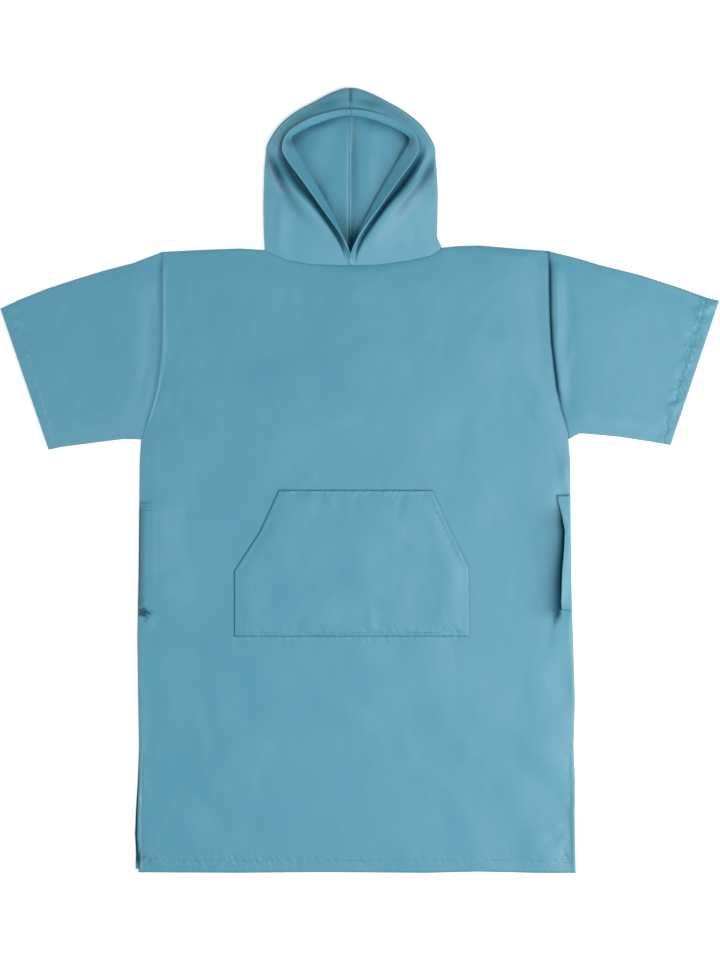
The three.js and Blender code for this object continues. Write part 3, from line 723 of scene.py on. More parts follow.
@dataclass(frozen=True)
class PolyesterThread(Finish):
    """Twisted sewing thread a shade darker than the cloth."""

    name: str = "polyester_thread"
    slot: str = "body_cloth"
    color: tuple[float, float, float] = (0.05, 0.20, 0.28)
    light: tuple[float, float, float] = (0.10, 0.31, 0.42)
    twist_mm: float = 0.5
    roughness: float = 0.55

    def build(self) -> bpy.types.Material:
        """Noise in object space varies colour and roughness along the thread."""
        shader = Shader(self.name)
        place = shader.node("ShaderNodeTexCoord", {}, {}).outputs["Object"]
        mm = shader.in_mm(place)
        twist = shader.noise(mm, 1 / self.twist_mm, 1.0)
        wear = shader.noise(mm, 0.04, 2.0)
        tint = shader.mix(twist * 0.6 + wear * 0.4, (*self.color, 1.0), (*self.light, 1.0))
        relief = shader.node("ShaderNodeBump", {}, {
            "Strength": 0.5, "Distance": 0.1 * METRE, "Height": twist,
        })
        body = shader.node("ShaderNodeBsdfPrincipled", {}, {
            "Base Color": tint, "Roughness": self.roughness + (wear - 0.5) * 0.2, "Normal": relief.outputs[0],
            "Specular IOR Level": 0.35,
        })
        return shader.surface(body.outputs[0])


KNOT_THREAD = PolyesterThread(name="knot_thread", color=(0.008, 0.05, 0.075), light=(0.05, 0.2, 0.28))
MADE: dict[str, bpy.types.Material] = {}


def dress(piece: bpy.types.Object, finish: Finish) -> None:
    """Gives a piece its finish."""
    if finish.name not in MADE:
        MADE[finish.name] = finish.build()
    piece.data.materials.append(MADE[finish.name])


def flat_path(x: Array, y: Array, height: Array) -> tuple[Array, Array]:
    """A path on a layer that lies flat, with its normals straight up."""
    path = joined(x, y, height)
    return path, np.tile([0.0, 0.0, 1.0], (len(path), 1))


def uneven(along: Array, seed: int) -> Array:
    """Height of a row over the cloth: it sinks in and comes up again by the soft noise along it."""
    return -0.14 + 0.3 * cloud(along, 0 * along + 2, 38, seed)


# The body's cloth

@dataclass
class BodyForm:
    """Lie of the front panel over the back panel: outline, loft, swells, seams, hems and creases."""

    edge_loft: float = 0.2
    body_loft: float = 1.5
    edge_ease: float = 55.0
    max_loft: float = 3.4
    side_share: float = 0.35
    slit_top: float = -22.0
    slit_bottom: float = -222.0
    slit_draw_in: float = 9.0
    slit_snip: float = 3.0
    slit_ease: float = 14.0
    trough_from: float = 14.0
    trough_wide: float = 14.0
    hem_depth: float = 20.0
    vent_top: float = -448.0
    vent_hem: float = 7.5
    left_roll: float = 5.6
    right_roll: float = 0.8
    vent_curl: float = 1.9
    tacks: tuple[float, ...] = (-37.0, -43.5, -50.0, -219.0, -223.5, -228.0)
    swells: list[Swell] = field(default_factory=lambda: [
        Swell(-250, 300, 130, 48, -38, 1.1), Swell(-120, 260, 110, 40, -62, -0.9),
        Swell(210, 300, 120, 55, 48, 1.2), Swell(60, 190, 150, 60, 12, 0.8),
        Swell(-230, 60, 140, 45, 70, -0.8), Swell(250, 90, 120, 40, 105, -0.9),
        Swell(-290, -150, 120, 34, 85, 1.3), Swell(-270, -350, 90, 46, 120, -1.2),
        Swell(-120, -430, 160, 50, 28, 1.0), Swell(150, -380, 170, 48, -30, 1.1),
        Swell(40, -560, 180, 38, 8, -0.8), Swell(280, -560, 100, 34, 62, -1.0),
        Swell(296, -120, 125, 24, 90, 1.2), Swell(343, 14, 22, 20, 90, 2.0),
        Swell(70, 80, 190, 80, 84, 1.5), Swell(345, -262, 24, 20, 90, 2.0),
    ])
    creases: list[Swell] = field(default_factory=lambda: [
        Swell(-345, 12, 60, 9, 96, 0.9), Swell(-350, -70, 46, 5.5, 90, 0.9),
        Swell(-351, -160, 60, 5.5, 91, 0.9), Swell(-356, -236, 20, 4, 118, 0.9),
        Swell(-346, -246, 22, 4, 64, -0.7), Swell(-345, -30, 14, 3.5, 15, -0.6),
        Swell(332, 20, 30, 5, 100, -0.5), Swell(322, -240, 34, 6, 78, -0.7),
        Swell(300, 150, 70, 8, 118, 0.6), Swell(284, 110, 60, 7, 122, -0.5),
        Swell(331, -233, 15, 4, 68, -1.5), Swell(-318, 170, 60, 9, 68, 0.6),
        Swell(-300, 120, 55, 8, 62, -0.5), Swell(-275, 235, 70, 10, -52, 0.5),
        Swell(-95, 300, 60, 12, -70, -0.6), Swell(332, -584, 22, 4.5, 33, 1.5),
        Swell(326, -597, 24, 4, 38, -1.3), Swell(342, -604, 16, 3.5, 46, 1.5),
        Swell(316, -570, 26, 5, 28, -0.9), Swell(347, -618, 13, 3, 54, -0.5),
        Swell(-340, -590, 36, 6, 64, 0.5), Swell(-250, -420, 60, 14, 100, -0.7),
        Swell(-180, -560, 80, 16, 30, 0.6), Swell(90, -500, 90, 15, -20, 0.6),
        Swell(220, -470, 70, 12, 40, -0.5), Swell(-60, 100, 110, 16, 16, 0.5),
        Swell(120, 60, 90, 14, -24, -0.5), Swell(-120, -20, 70, 10, 36, 0.5),
        Swell(210, -20, 60, 10, -60, 0.5), Swell(-15, -330, 120, 18, 3, -0.5),
    ])
    # Painted shade: ovals of shade at the slits' ends, the left hem corner and the right shoulder.
    shades: list[Swell] = field(default_factory=lambda: [
        Swell(330, -234, 15, 4, 75, 0.6), Swell(-365, -224, 12, 4.5, 8, 0.7),
        Swell(-358, -232, 8, 2, 60, 0.5), Swell(-370, -636, 13, 2.4, 88, 0.7),
        Swell(-352, -640, 5, 2.5, 60, 0.3), Swell(-362, -38, 10, 3, 0, 0.25),
        Swell(328, 365, 7, 2, 128, 0.3),
    ])

    def left(self, y: Array) -> Array:
        """Left edge at each level."""
        return BODY_EDGE.read("y", "left", y)

    def right(self, y: Array) -> Array:
        """Right edge at each level, before the hand slit draws it in."""
        return BODY_EDGE.read("y", "right", y)

    def drawn_in(self, y: Array) -> Array:
        """How far the front's right edge lies inside the side seam along the hand slit."""
        below_top = np.clip((self.slit_top - y) / self.slit_snip, 0, 1)
        return self.slit_draw_in * below_top * np.clip((y - self.slit_bottom) / self.slit_snip, 0, 1)

    def hem(self, x: Array) -> Array:
        """Level of the front's hem."""
        return HEM_Y + HEM_WAVE.read("x", "y", x)

    def under(self, x: Array, y: Array) -> Array:
        """Height of the front's underside.

        The gap over the back, plus loft and swells eased in from the seams, less the right slit's trough.
        """
        from_left, from_right = x - self.left(y), self.right(y) - x
        from_side = np.minimum(from_left, from_right)
        from_top = np.maximum(FRONT_TOP.read("x", "y", x) - y, 0)
        inside = ease(from_side / self.edge_ease) * ease(from_top / self.edge_ease)
        near = ease(from_side / self.slit_ease + self.side_share) * ease(from_top / self.slit_ease)
        loft = self.edge_loft + self.body_loft * inside + swells_at(self.swells, x, y) * near
        along = self.along_slit(y)
        trough = np.where(x > 0, along * (1 - ease((from_side - self.trough_from) / self.trough_wide)), 0.0)
        return LAYER_TWO + capped(loft, self.max_loft) * (1 - trough)

    def along_slit(self, y: Array) -> Array:
        """1 along the hand slits and 0 away from them."""
        below_top = ease((self.slit_top + self.slit_ease - y) / self.slit_ease)
        return below_top * ease((y - self.slit_bottom + self.slit_ease) / self.slit_ease)

    def over(self, x: Array, y: Array) -> Array:
        """Height of the front's upper face: underside, wall and the finer relief of seams and hems."""
        from_left = np.maximum(x - self.left(y), 0)
        from_right = np.maximum(self.right(y) - x, 0)
        from_cut = np.maximum(from_right - self.drawn_in(y), 0)
        from_hem = np.maximum(y - self.hem(x), 0)
        from_top = np.maximum(FRONT_TOP.read("x", "y", x) - y, 0)
        beside = np.minimum(from_left, from_cut)
        height = self.under(x, y) + WALL
        relief = swells_at(self.creases, x, y)
        relief += 1.7 * cloud(x, y, 118, 3) + 0.9 * cloud(x + y * 0.4, y, 57, 5)
        relief += 0.22 * cloud(x, y - x * 0.3, 27, 7)
        relief *= ease(beside / 22) * ease(from_top / 12)
        beside_sleeve = ease((y - UNDERARM_Y - 6) / 40) * ease((380 - y) / 26)
        wander = 1 + 0.35 * cloud(x * 0.2, y, 33, 11)
        relief += 1.5 * (1 - ease((from_left - 0.6) / (8.5 * wander))) * beside_sleeve
        relief += 0.6 * bump(from_left - 13, 9) * beside_sleeve
        relief += 0.5 * ease(from_right / 4.5) * (1 - ease((from_right - 6) / 20)) * beside_sleeve * wander
        slit_left = ease((self.slit_top + 6 - y) / 46) * ease((y - self.slit_bottom + 12) / 50)
        falling = 1 - ease((from_left - 16) / (84 + 16 * cloud(x * 0.1, y, 60, 15)))
        relief += self.left_roll * slit_left * rounded(from_left / 19) * falling * (0.85 + 0.15 * wander)
        for level in self.tacks:
            relief -= 0.4 * bump(y - level, 1.3) * ease((26 - from_left) / 3)
        curl = ease((self.vent_top - 10 - y) / 90)
        relief += self.vent_curl * curl * (1 - ease(from_left / 13)) ** 2
        relief += 0.5 * self.vent_curl * curl * (1 - ease(from_right / 12)) ** 2
        slit_right = ease((self.slit_top - 4 - y) / 95) * ease((y - self.slit_bottom + 26) / 40)
        from_strip = STRIP_EDGE.read("y", "x", y) - x
        wide = 5 + 7 * ease((-60 - y) / 120)
        dying = 1 - ease((from_strip - 8) / 60)
        relief += self.right_roll * slit_right * rounded((from_strip + 0.5) / wide) * dying
        relief += (0.55 + 0.45 * ease((-x - 40) / 160)) * self.hem_relief(from_hem, x, self.hem_depth, 17)
        vent = ease((self.vent_top - y) / 10)
        relief += vent * self.hem_relief(from_left, y, self.vent_hem, 19)
        fanned = (0.25 + 0.5 * bump(y + 600, 26)) * ease((from_hem - 22) / 12)
        relief += fanned * vent * self.hem_relief(from_right, y, self.vent_hem, 23)
        seam_drop = 0.85 - 0.6 * beside_sleeve * (x < 0)
        relief -= seam_drop * bump(beside, 2.2) + 0.85 * (bump(from_top, 1.9) + bump(from_hem, 1.4))
        return height + np.maximum(relief, -0.85)

    def painted_shade(self, x: Array, y: Array) -> Array:
        """Painted shade: how much shade is painted at a place, beside both hand slits, at the right armhole
        and by the left vent.
        """
        from_left, from_right = x - self.left(y), self.right(y) - x
        from_strip = STRIP_EDGE.read("y", "x", y) - x
        slit_left = ease((self.slit_top - 8 - y) / 24) * ease((y - self.slit_bottom + 4) / 20)
        slit_right = ease((self.slit_top - 8 - y) / 48) * ease((y - self.slit_bottom + 20) / 26)
        wide = 3.5 + 6.5 * ease((-70 - y) / 120)
        dark = 0.62 * slit_left * (1 - ease(from_left / 15)) + 0.3 * bump(from_left, 2.0)
        out = np.maximum(from_strip, 0)
        recess = 0.42 * bump(out, 34) + 0.5 * bump(out, 6 + 1.2 * wide) + 0.1 * bump(out, 0.8 * wide)
        dark += slit_right * recess * np.where(from_strip > 0, 1.0, ease((y - self.slit_bottom - 2) / 3))
        beside_sleeve = ease((y - UNDERARM_Y - 6) / 40)
        dark += 0.85 * beside_sleeve * bump(from_right, 2.8) * (0.8 + 0.2 * cloud(x * 0.2, y, 26, 91))
        vent = ease((self.vent_top - y) / 30)
        dark += 0.4 * vent * bump(from_left - 7, 1.4)
        return np.clip(dark + swells_at(self.shades, x, y), 0.0, 0.92)

    def lanes(self, x: Array, y: Array) -> Array:
        """Sewn lines of the front: hem, vents, side seams, armholes, neck, left slit's ends and pocket."""
        from_left, from_right, from_hem = x - self.left(y), self.right(y) - x, y - self.hem(x)
        vent = ease((self.vent_top - y) / 10)
        seam = 0.35 * (1 - vent) * (1 - 0.8 * self.along_slit(y))
        tacks = bump(y + 43, 9) + 1.3 * bump(y + 223, 9)
        hem_share = (0.4 + 0.6 * ease((-x - 40) / 160)) * ease(np.minimum(from_left, from_right) / 16)
        return strongest_lane([
            Lane(from_hem, x, self.hem_depth, 11.0, 1.3 * hem_share),
            Lane(from_left, y, self.vent_hem, 7.0, 0.9 * vent * ease((from_hem - 16) / 16)),
            Lane(from_right, y, self.vent_hem, 7.0, 0.9 * vent * ease((from_hem - 16) / 16)),
            Lane(from_left, y, 0.0, 8.0, seam),
            Lane(from_right, y, 0.0, 8.0, seam),
            Lane(FRONT_TOP.read("x", "y", x) - y, x, 0.0, 7.0, 0.4),
            Lane(from_left, y, 12.0, 13.0, 1.2 * tacks),
            Lane(y + 265, x, 0.0, 8.0, 0.9 * ease((x + 214) / 8) * ease((186 - x) / 8)),
            Lane(y + 14, x, 0.0, 7.0, 0.7 * ease((x + 140) / 8) * ease((126 - x) / 8)),
        ])

    @staticmethod
    def hem_relief(inside: Array, along: Array, depth: float, seed: int, cut: float = 1.0) -> Array:
        """A turned hem.

        A band is raised by one layer, a groove of uneven depth lies where it is sewn, and it puckers there.

        Args:
            inside: Distance inside the hem's fold, in mm.
            along: Distance along it, in mm.
            depth: Where the hem is sewn, in mm inside the fold.
            seed: Seed of the unevenness.
            cut: Share of the usual band and groove.

        Returns:
            Height in mm.
        """
        still = 0 * along
        amount = 0.5 + 0.5 * cloud(along, still + 5, 60, seed + 2)
        band = 0.4 * cut * ease((depth + 1.5 - inside) / 2.6)
        groove = cut * (0.2 + 0.35 * amount) * bump(inside - depth, 1.7)
        ripple = cloud(along + 0.5 * inside, inside * 0.3, 13, seed)
        ripple = ripple + 0.5 * cloud(along - 0.4 * inside, inside * 0.3, 8, seed + 1)
        return band - groove + 0.55 * ripple * (0.35 + amount) * bump(inside - depth, depth * 0.6)


@dataclass
class FrontPanel:
    """Front panel with its hem, vent hems and stitch rows."""

    form: BodyForm
    step: float = 4.6
    corner_row: tuple[float, float] = (342.0, 363.0)
    corner_rise: float = 16.5

    def grid(self) -> tuple[Array, Array]:
        """Level lines that bend into shoulders and neck as they rise.

        Returns:
            x and y of each grid point in mm.
        """
        form = self.form
        snips = (form.slit_top, form.slit_top - form.slit_snip, form.slit_bottom + form.slit_snip)
        snips = tuple(level - HEM_Y for level in (*snips, *form.tacks))
        v = graded(SHOULDER_Y - HEM_Y, self.step, (form.hem_depth, *snips), 1.1)[:, None]
        u = neck_columns(graded(BODY_ACROSS, self.step, (form.vent_hem, BODY_ACROSS - form.vent_hem), 1.1))
        level = HEM_Y + (SHOULDER_Y - HEM_Y) * v
        x = self.form.left(level) * (1 - u) + (form.right(level) - form.drawn_in(level)) * u
        y = form.hem(x) * (1 - v) + FRONT_TOP.read("x", "y", x) * v
        return x, y

    def build(self, finish: Finish) -> bpy.types.Object:
        """The closed wall between the form's two faces."""
        x, y = self.grid()
        under = joined(x, y, self.form.under(x, y))
        over = joined(x, y, self.form.over(x, y))
        cloth = joined(x, y) * METRE
        marks = Marks(self.form.lanes(x, y), self.form.painted_shade(x, y))
        piece = wall_object("poncho_front", under, over, cloth, marks)
        dress(piece, finish)
        return piece

    def stitches(self, finish: Finish) -> bpy.types.Object:
        """Hem row, vent rows and the bartacks at vents and left hand slit."""
        form = self.form
        sewing = Stitching("front_stitches")
        x = np.linspace(form.left(HEM_Y) + 3, form.right(HEM_Y) - 3, 300)
        self.add(sewing, x, form.hem(x) + form.hem_depth, uneven(x, 93))
        y = np.linspace(HEM_Y + 4, form.vent_top, 90)
        self.add(sewing, form.left(y) + form.vent_hem, y, uneven(y, 95))
        x = np.linspace(*self.corner_row, 9)
        self.add(sewing, x, np.full_like(x, HEM_Y + self.corner_rise), 0.1)
        tack = np.linspace(1.5, 10, 6)
        for rise in (0.0, 2.4):
            level = np.full(6, form.vent_top + rise)
            self.add(sewing, form.left(level) + tack, level)
            self.add(sewing, form.right(level) - tack, level)
        row = np.linspace(1.5, 25, 12)
        for level in form.tacks:
            y = level + 0.5 * np.sin(row * 0.5 + level)
            self.add(sewing, form.left(y) + row, y)
        return sewing.build(finish)

    def knot(self, finish: Finish) -> bpy.types.Object:
        """The thick bartack at the foot of the left slit: thread laid to and fro in slanting turns."""
        form = self.form
        sewing = Stitching("slit_knot", StitchSize(length=4.4, pitch=3.4, width=2.1, height=1.6))
        for turn in range(6):
            share = np.linspace(0, 1, 30)
            y = form.slit_bottom - 5.0 + 1.8 * turn + 2.4 * np.sin(share * 9 + turn * 1.7) + 1.2 * share
            x = form.left(y) + 0.6 + share * (25 - 3 * abs(turn - 2))
            self.add(sewing, x, y, 0.4)
        return sewing.build(finish)

    def add(self, sewing: Stitching, x: Array, y: Array, above: Array | float = 0.15) -> None:
        """Adds a row that follows the upper face."""
        sewing.row(*flat_path(x, y, self.form.over(x, y) + above))


@dataclass
class BackPanel:
    """Back panel, one flat layer whose left hem corner stands out past the front."""

    vent_top: float = -448.0
    vent_spread: float = 5.5
    hem_lift: float = 1.5
    corner_lift: float = 6.0
    corner_width: float = 9.0
    neck_dip: float = 4.0
    step: float = 9.0

    def neck(self, x: Array) -> Array:
        """Level of the back neck seam: an even sag between the ends of the shoulder seams."""
        share = np.clip((x - NECK_LEFT_X) / (NECK_RIGHT_X - NECK_LEFT_X), 0, 1)
        ends = NECK_LEFT_Y * (1 - share) + NECK_RIGHT_Y * share
        return ends - self.neck_dip * np.sin(np.pi * share)

    def build(self, finish: Finish) -> bpy.types.Object:
        """Level lines between the side edges, flat below and with a hem band above."""
        v = graded(SHOULDER_Y - HEM_Y, self.step, (20.0,), 1.1)[:, None]
        u = neck_columns(graded(BODY_ACROSS, self.step, (self.corner_width,), 1.0))
        level = HEM_Y + (SHOULDER_Y - HEM_Y) * v
        spread = self.vent_spread * np.clip((self.vent_top - level) / (self.vent_top - HEM_Y), 0, 1)
        x = (BODY_EDGE.read("y", "left", level) - spread) * (1 - u) + BODY_EDGE.read("y", "right", level) * u
        between = (x > NECK_LEFT_X) & (x < NECK_RIGHT_X)
        top = np.where(between, self.neck(x), FRONT_TOP.read("x", "y", x))
        from_corner = x - (BODY_EDGE.read("y", "left", HEM_Y) - self.vent_spread)
        at_corner = 1 - ease((from_corner - self.corner_width) / 2)
        lift = self.hem_lift + (self.corner_lift - self.hem_lift) * at_corner
        y = (HEM_Y + lift) * (1 - v) + top * v
        hem = y - HEM_Y - lift
        relief = 0.25 * ease((20 - hem) / 2) - 0.25 * bump(hem - 20, 1.4)
        edge = np.minimum(x - x[:, :1], x[:, -1:] - x)
        relief = np.where(edge < 40, relief, 0.0) - 0.3 * (bump(edge, 1.4) + bump(hem, 1.2))
        under = joined(x, y, 0 * x)
        over = joined(x, y, WALL + np.clip(relief, -0.5, 0.2))
        # Painted shade on the sliver of the back that shows beside the front's edge at the left vent.
        sliver = ease((self.vent_top - y) / 14) * (1 - ease((x - BODY_EDGE.read("y", "left", y)) / 2))
        marks = Marks(painted_shade=0.85 * sliver * ease((hem - 5) / 6))
        piece = wall_object("poncho_back", under, over, joined(x, y) * METRE, marks)
        dress(piece, finish)
        return piece


@dataclass
class Sleeve:
    """A flat tube from the armhole to an open cuff, with its hem."""

    side: Side
    top: Table
    below: Table
    swells: list[Swell]
    creases: list[Swell]
    seed: int
    loft: float = 1.3
    max_loft: float = 2.4
    seam_radius: float = 1.35
    fold_radius: float = 1.9
    edge_ease: float = 55.0
    fold_ease: float = 26.0
    seam_ease: float = 0.07
    loft_ease: float = 0.2
    cuff_hem: float = 22.0
    puff: float = 1.0
    puff_at: float = 12.0
    cuff_pucker: float = 1.0
    cuff_relief: float = 0.8
    # Painted shade along the armhole seam on the upper layer.
    seam_shade: float = 0.25
    # Drop of the upper layer at the armhole edge in mm, also the amount of painted shade there.
    hole_drop_and_shade: float = 0.1
    hole_rise: float = 1.2
    row_sink: float = 0.05
    round_step: float = 4.2
    arc_steps: int = 8

    @property
    def word(self) -> str:
        """The side's name."""
        return self.side.name.lower()

    def length(self) -> float:
        """Length along the top fold."""
        x = self.top.columns["x"]
        return float(np.hypot(np.diff(x), np.diff(self.top.columns["y"])).sum())

    def place(self, s: Array, t: Array) -> tuple[Array, Array]:
        """Plan place: the four edges blended.

        The straight mix of armhole and cuff, plus the straight mix of under edge and top fold, less the
        mix of the four corners.

        Args:
            s: Share of the way from armhole to cuff.
            t: Share of the way from under edge to top fold.

        Returns:
            x and y in mm.
        """
        low, high = self.edge(self.below, s), self.edge(self.top, s)
        start_low, start_high = self.edge(self.below, 0.0), self.edge(self.top, 0.0)
        cuff_low, cuff_high = self.edge(self.below, 1.0), self.edge(self.top, 1.0)
        y_hole = start_low[1] * (1 - t) + start_high[1] * t
        x_hole = BODY_EDGE.read("y", self.word, y_hole) + self.side.value * ARMHOLE_GAP
        ends = []
        for k, hole in enumerate((x_hole, y_hole)):
            lengthwise = hole * (1 - s) + (cuff_low[k] * (1 - t) + cuff_high[k] * t) * s
            crosswise = low[k] * (1 - t) + high[k] * t
            corners = (start_low[k] * (1 - s) + cuff_low[k] * s) * (1 - t)
            corners = corners + (start_high[k] * (1 - s) + cuff_high[k] * s) * t
            ends.append(lengthwise + crosswise - corners)
        return ends[0], ends[1]

    @staticmethod
    def edge(table: Table, s: Array | float) -> tuple[Array, Array]:
        """Point of a long edge at a share of its reach in x."""
        x = table.columns["x"][0] * (1 - s) + table.columns["x"][-1] * s
        return x, table.read("x", "y", x)

    def top_height(self, s: Array, t: Array, radius: Array, width: Array) -> Array:
        """Height of the upper layer's outer face."""
        x, y = self.place(s, t)
        from_edge = np.minimum(t, 1 - t) * width
        inside = ease(from_edge / self.edge_ease) * ease(s / self.loft_ease)
        near = ease(from_edge / self.fold_ease) * ease(s / self.seam_ease)
        loft = capped(self.loft * inside + swells_at(self.swells, x, y) * near, self.max_loft)
        from_cuff = (1 - s) * self.length()
        relief = swells_at(self.creases, x, y)
        relief += 0.3 * cloud(x, y, 60, self.seed) + 0.18 * cloud(x - y * 0.3, y, 27, self.seed + 1)
        from_hole = s * self.length()
        relief *= ease(from_edge / 14) * ease(from_hole / 10)
        along_puff = ease((t - 0.1) / 0.25) * ease((0.98 - t) / 0.16)
        along_puff = along_puff * (1 + 0.3 * cloud(x * 0.3, y, 48, self.seed + 6))
        rising = 0.55 * ease(from_hole / 3.5) + 0.45 * ease(from_hole / self.puff_at)
        relief += self.puff * along_puff * rising * (1 - ease((from_hole - self.puff_at) / 26))
        hem = BodyForm.hem_relief(from_cuff, t * width, self.cuff_hem, self.seed + 2, 0.8 / self.cuff_relief)
        relief += self.cuff_relief * hem * ease(from_edge / 8)
        relief -= 0.5 * bump(from_cuff, 1.3) + self.hole_drop_and_shade * bump(from_hole, 2.4)
        at_hole = (1 - ease((from_hole - 0.6) / 10)) * ease((t - 0.04) / 0.2) * ease((0.97 - t) / 0.1)
        relief += self.hole_rise * at_hole
        return 2 * radius + loft + np.maximum(relief, -0.8)

    def ring(self, depth: float) -> tuple[Array, Array, Marks]:
        """Points, cloth coordinates and marks of the rings.

        Each ring runs along the flat layer on the floor, round the top fold's half circle, back along the
        upper layer and round the under edge's half circle.

        Args:
            depth: How far inside the outer face, in mm.

        Returns:
            Points, rings by points by 3, cloth coordinates with one column more, and the marks.
        """
        s = graded(self.length(), self.round_step, (self.length() - self.cuff_hem,), 1.1)[:, None]
        radius = self.seam_radius + (self.fold_radius - self.seam_radius) * ease(s / self.loft_ease)
        low, high = self.place(s, np.zeros_like(s)), self.place(s, np.ones_like(s))
        width = np.hypot(high[0] - low[0], high[1] - low[1])
        edge = radius / width
        q = np.linspace(0, 1, round(320 / self.round_step))[None, :]
        angle = np.pi * np.arange(1, self.arc_steps)[None, :] / self.arc_steps - np.pi / 2
        reach = (radius - depth) / width
        floor_t = edge + q * (1 - 2 * edge)
        round_fold = reach * np.cos(angle)
        t = np.hstack([floor_t, 1 - edge + round_fold, floor_t[:, ::-1], edge - round_fold])
        bend = radius + (radius - depth) * np.sin(angle)
        flat = np.full_like(floor_t, depth)
        upper = self.top_height(np.broadcast_to(s, floor_t.shape), floor_t, radius, width)[:, ::-1] - depth
        blend = ease(np.minimum(floor_t, 1 - floor_t)[:, ::-1] * width / 3.0)
        upper = (2 * radius - depth) * (1 - blend) + upper * blend
        z = np.hstack([flat, bend, upper, bend[:, ::-1]])
        x, y = self.place(np.broadcast_to(s, t.shape), t)
        round_share = np.linspace(0, 1, t.shape[1] + 1)[None, :]
        uv = np.stack(np.broadcast_arrays(s * self.length(), round_share * 2 * width), axis=-1) * METRE
        from_hole, around = s * self.length() + 0 * t, round_share[:, :-1] * 2 * width
        lanes = strongest_lane([
            Lane(self.length() - from_hole, around, self.cuff_hem, 12.0, self.cuff_pucker),
            Lane(from_hole, around, 0.0, 8.0, 0.35),
            Lane(np.minimum(np.abs(t), np.abs(1 - t)) * width, from_hole, 0.0, 7.0, 0.3),
        ])
        # Painted shade beside the armhole seam and at the drop of its edge.
        dark = ease((t - 0.12) / 0.2) * ease((1.0 - t) / 0.1) * (z > self.seam_radius)
        painted_shade = self.seam_shade * dark * (1 - ease((from_hole - 1.5) / 9.0))
        painted_shade = np.clip(painted_shade + self.hole_drop_and_shade * bump(from_hole, 2.2) * (z > radius), 0.0, 0.95)
        return joined(x, y, z), uv, Marks(lanes, painted_shade)

    def build(self, finish: Finish) -> bpy.types.Object:
        """The tube's wall."""
        outer, uv, marks = self.ring(0.0)
        inner, _, _ = self.ring(WALL)
        piece = wall_object(f"poncho_sleeve_{self.word}", inner, outer, uv, marks, ring=True)
        dress(piece, finish)
        return piece

    def stitches(self, finish: Finish) -> bpy.types.Object:
        """The cuff's hem row."""
        sewing = Stitching(f"cuff_stitches_{self.word}")
        t = np.linspace(0.012, 0.988, 160)
        s = np.full_like(t, 1 - self.cuff_hem / self.length())
        low, high = self.place(s[:1], np.zeros(1)), self.place(s[:1], np.ones(1))
        width = float(np.hypot(high[0] - low[0], high[1] - low[1])[0])
        x, y = self.place(s, t)
        height = self.top_height(s, t, np.full_like(t, self.fold_radius), np.full_like(t, width))
        sewing.row(*flat_path(x, y, height + uneven(t * width, self.seed + 9) - self.row_sink))
        return sewing.build(finish)


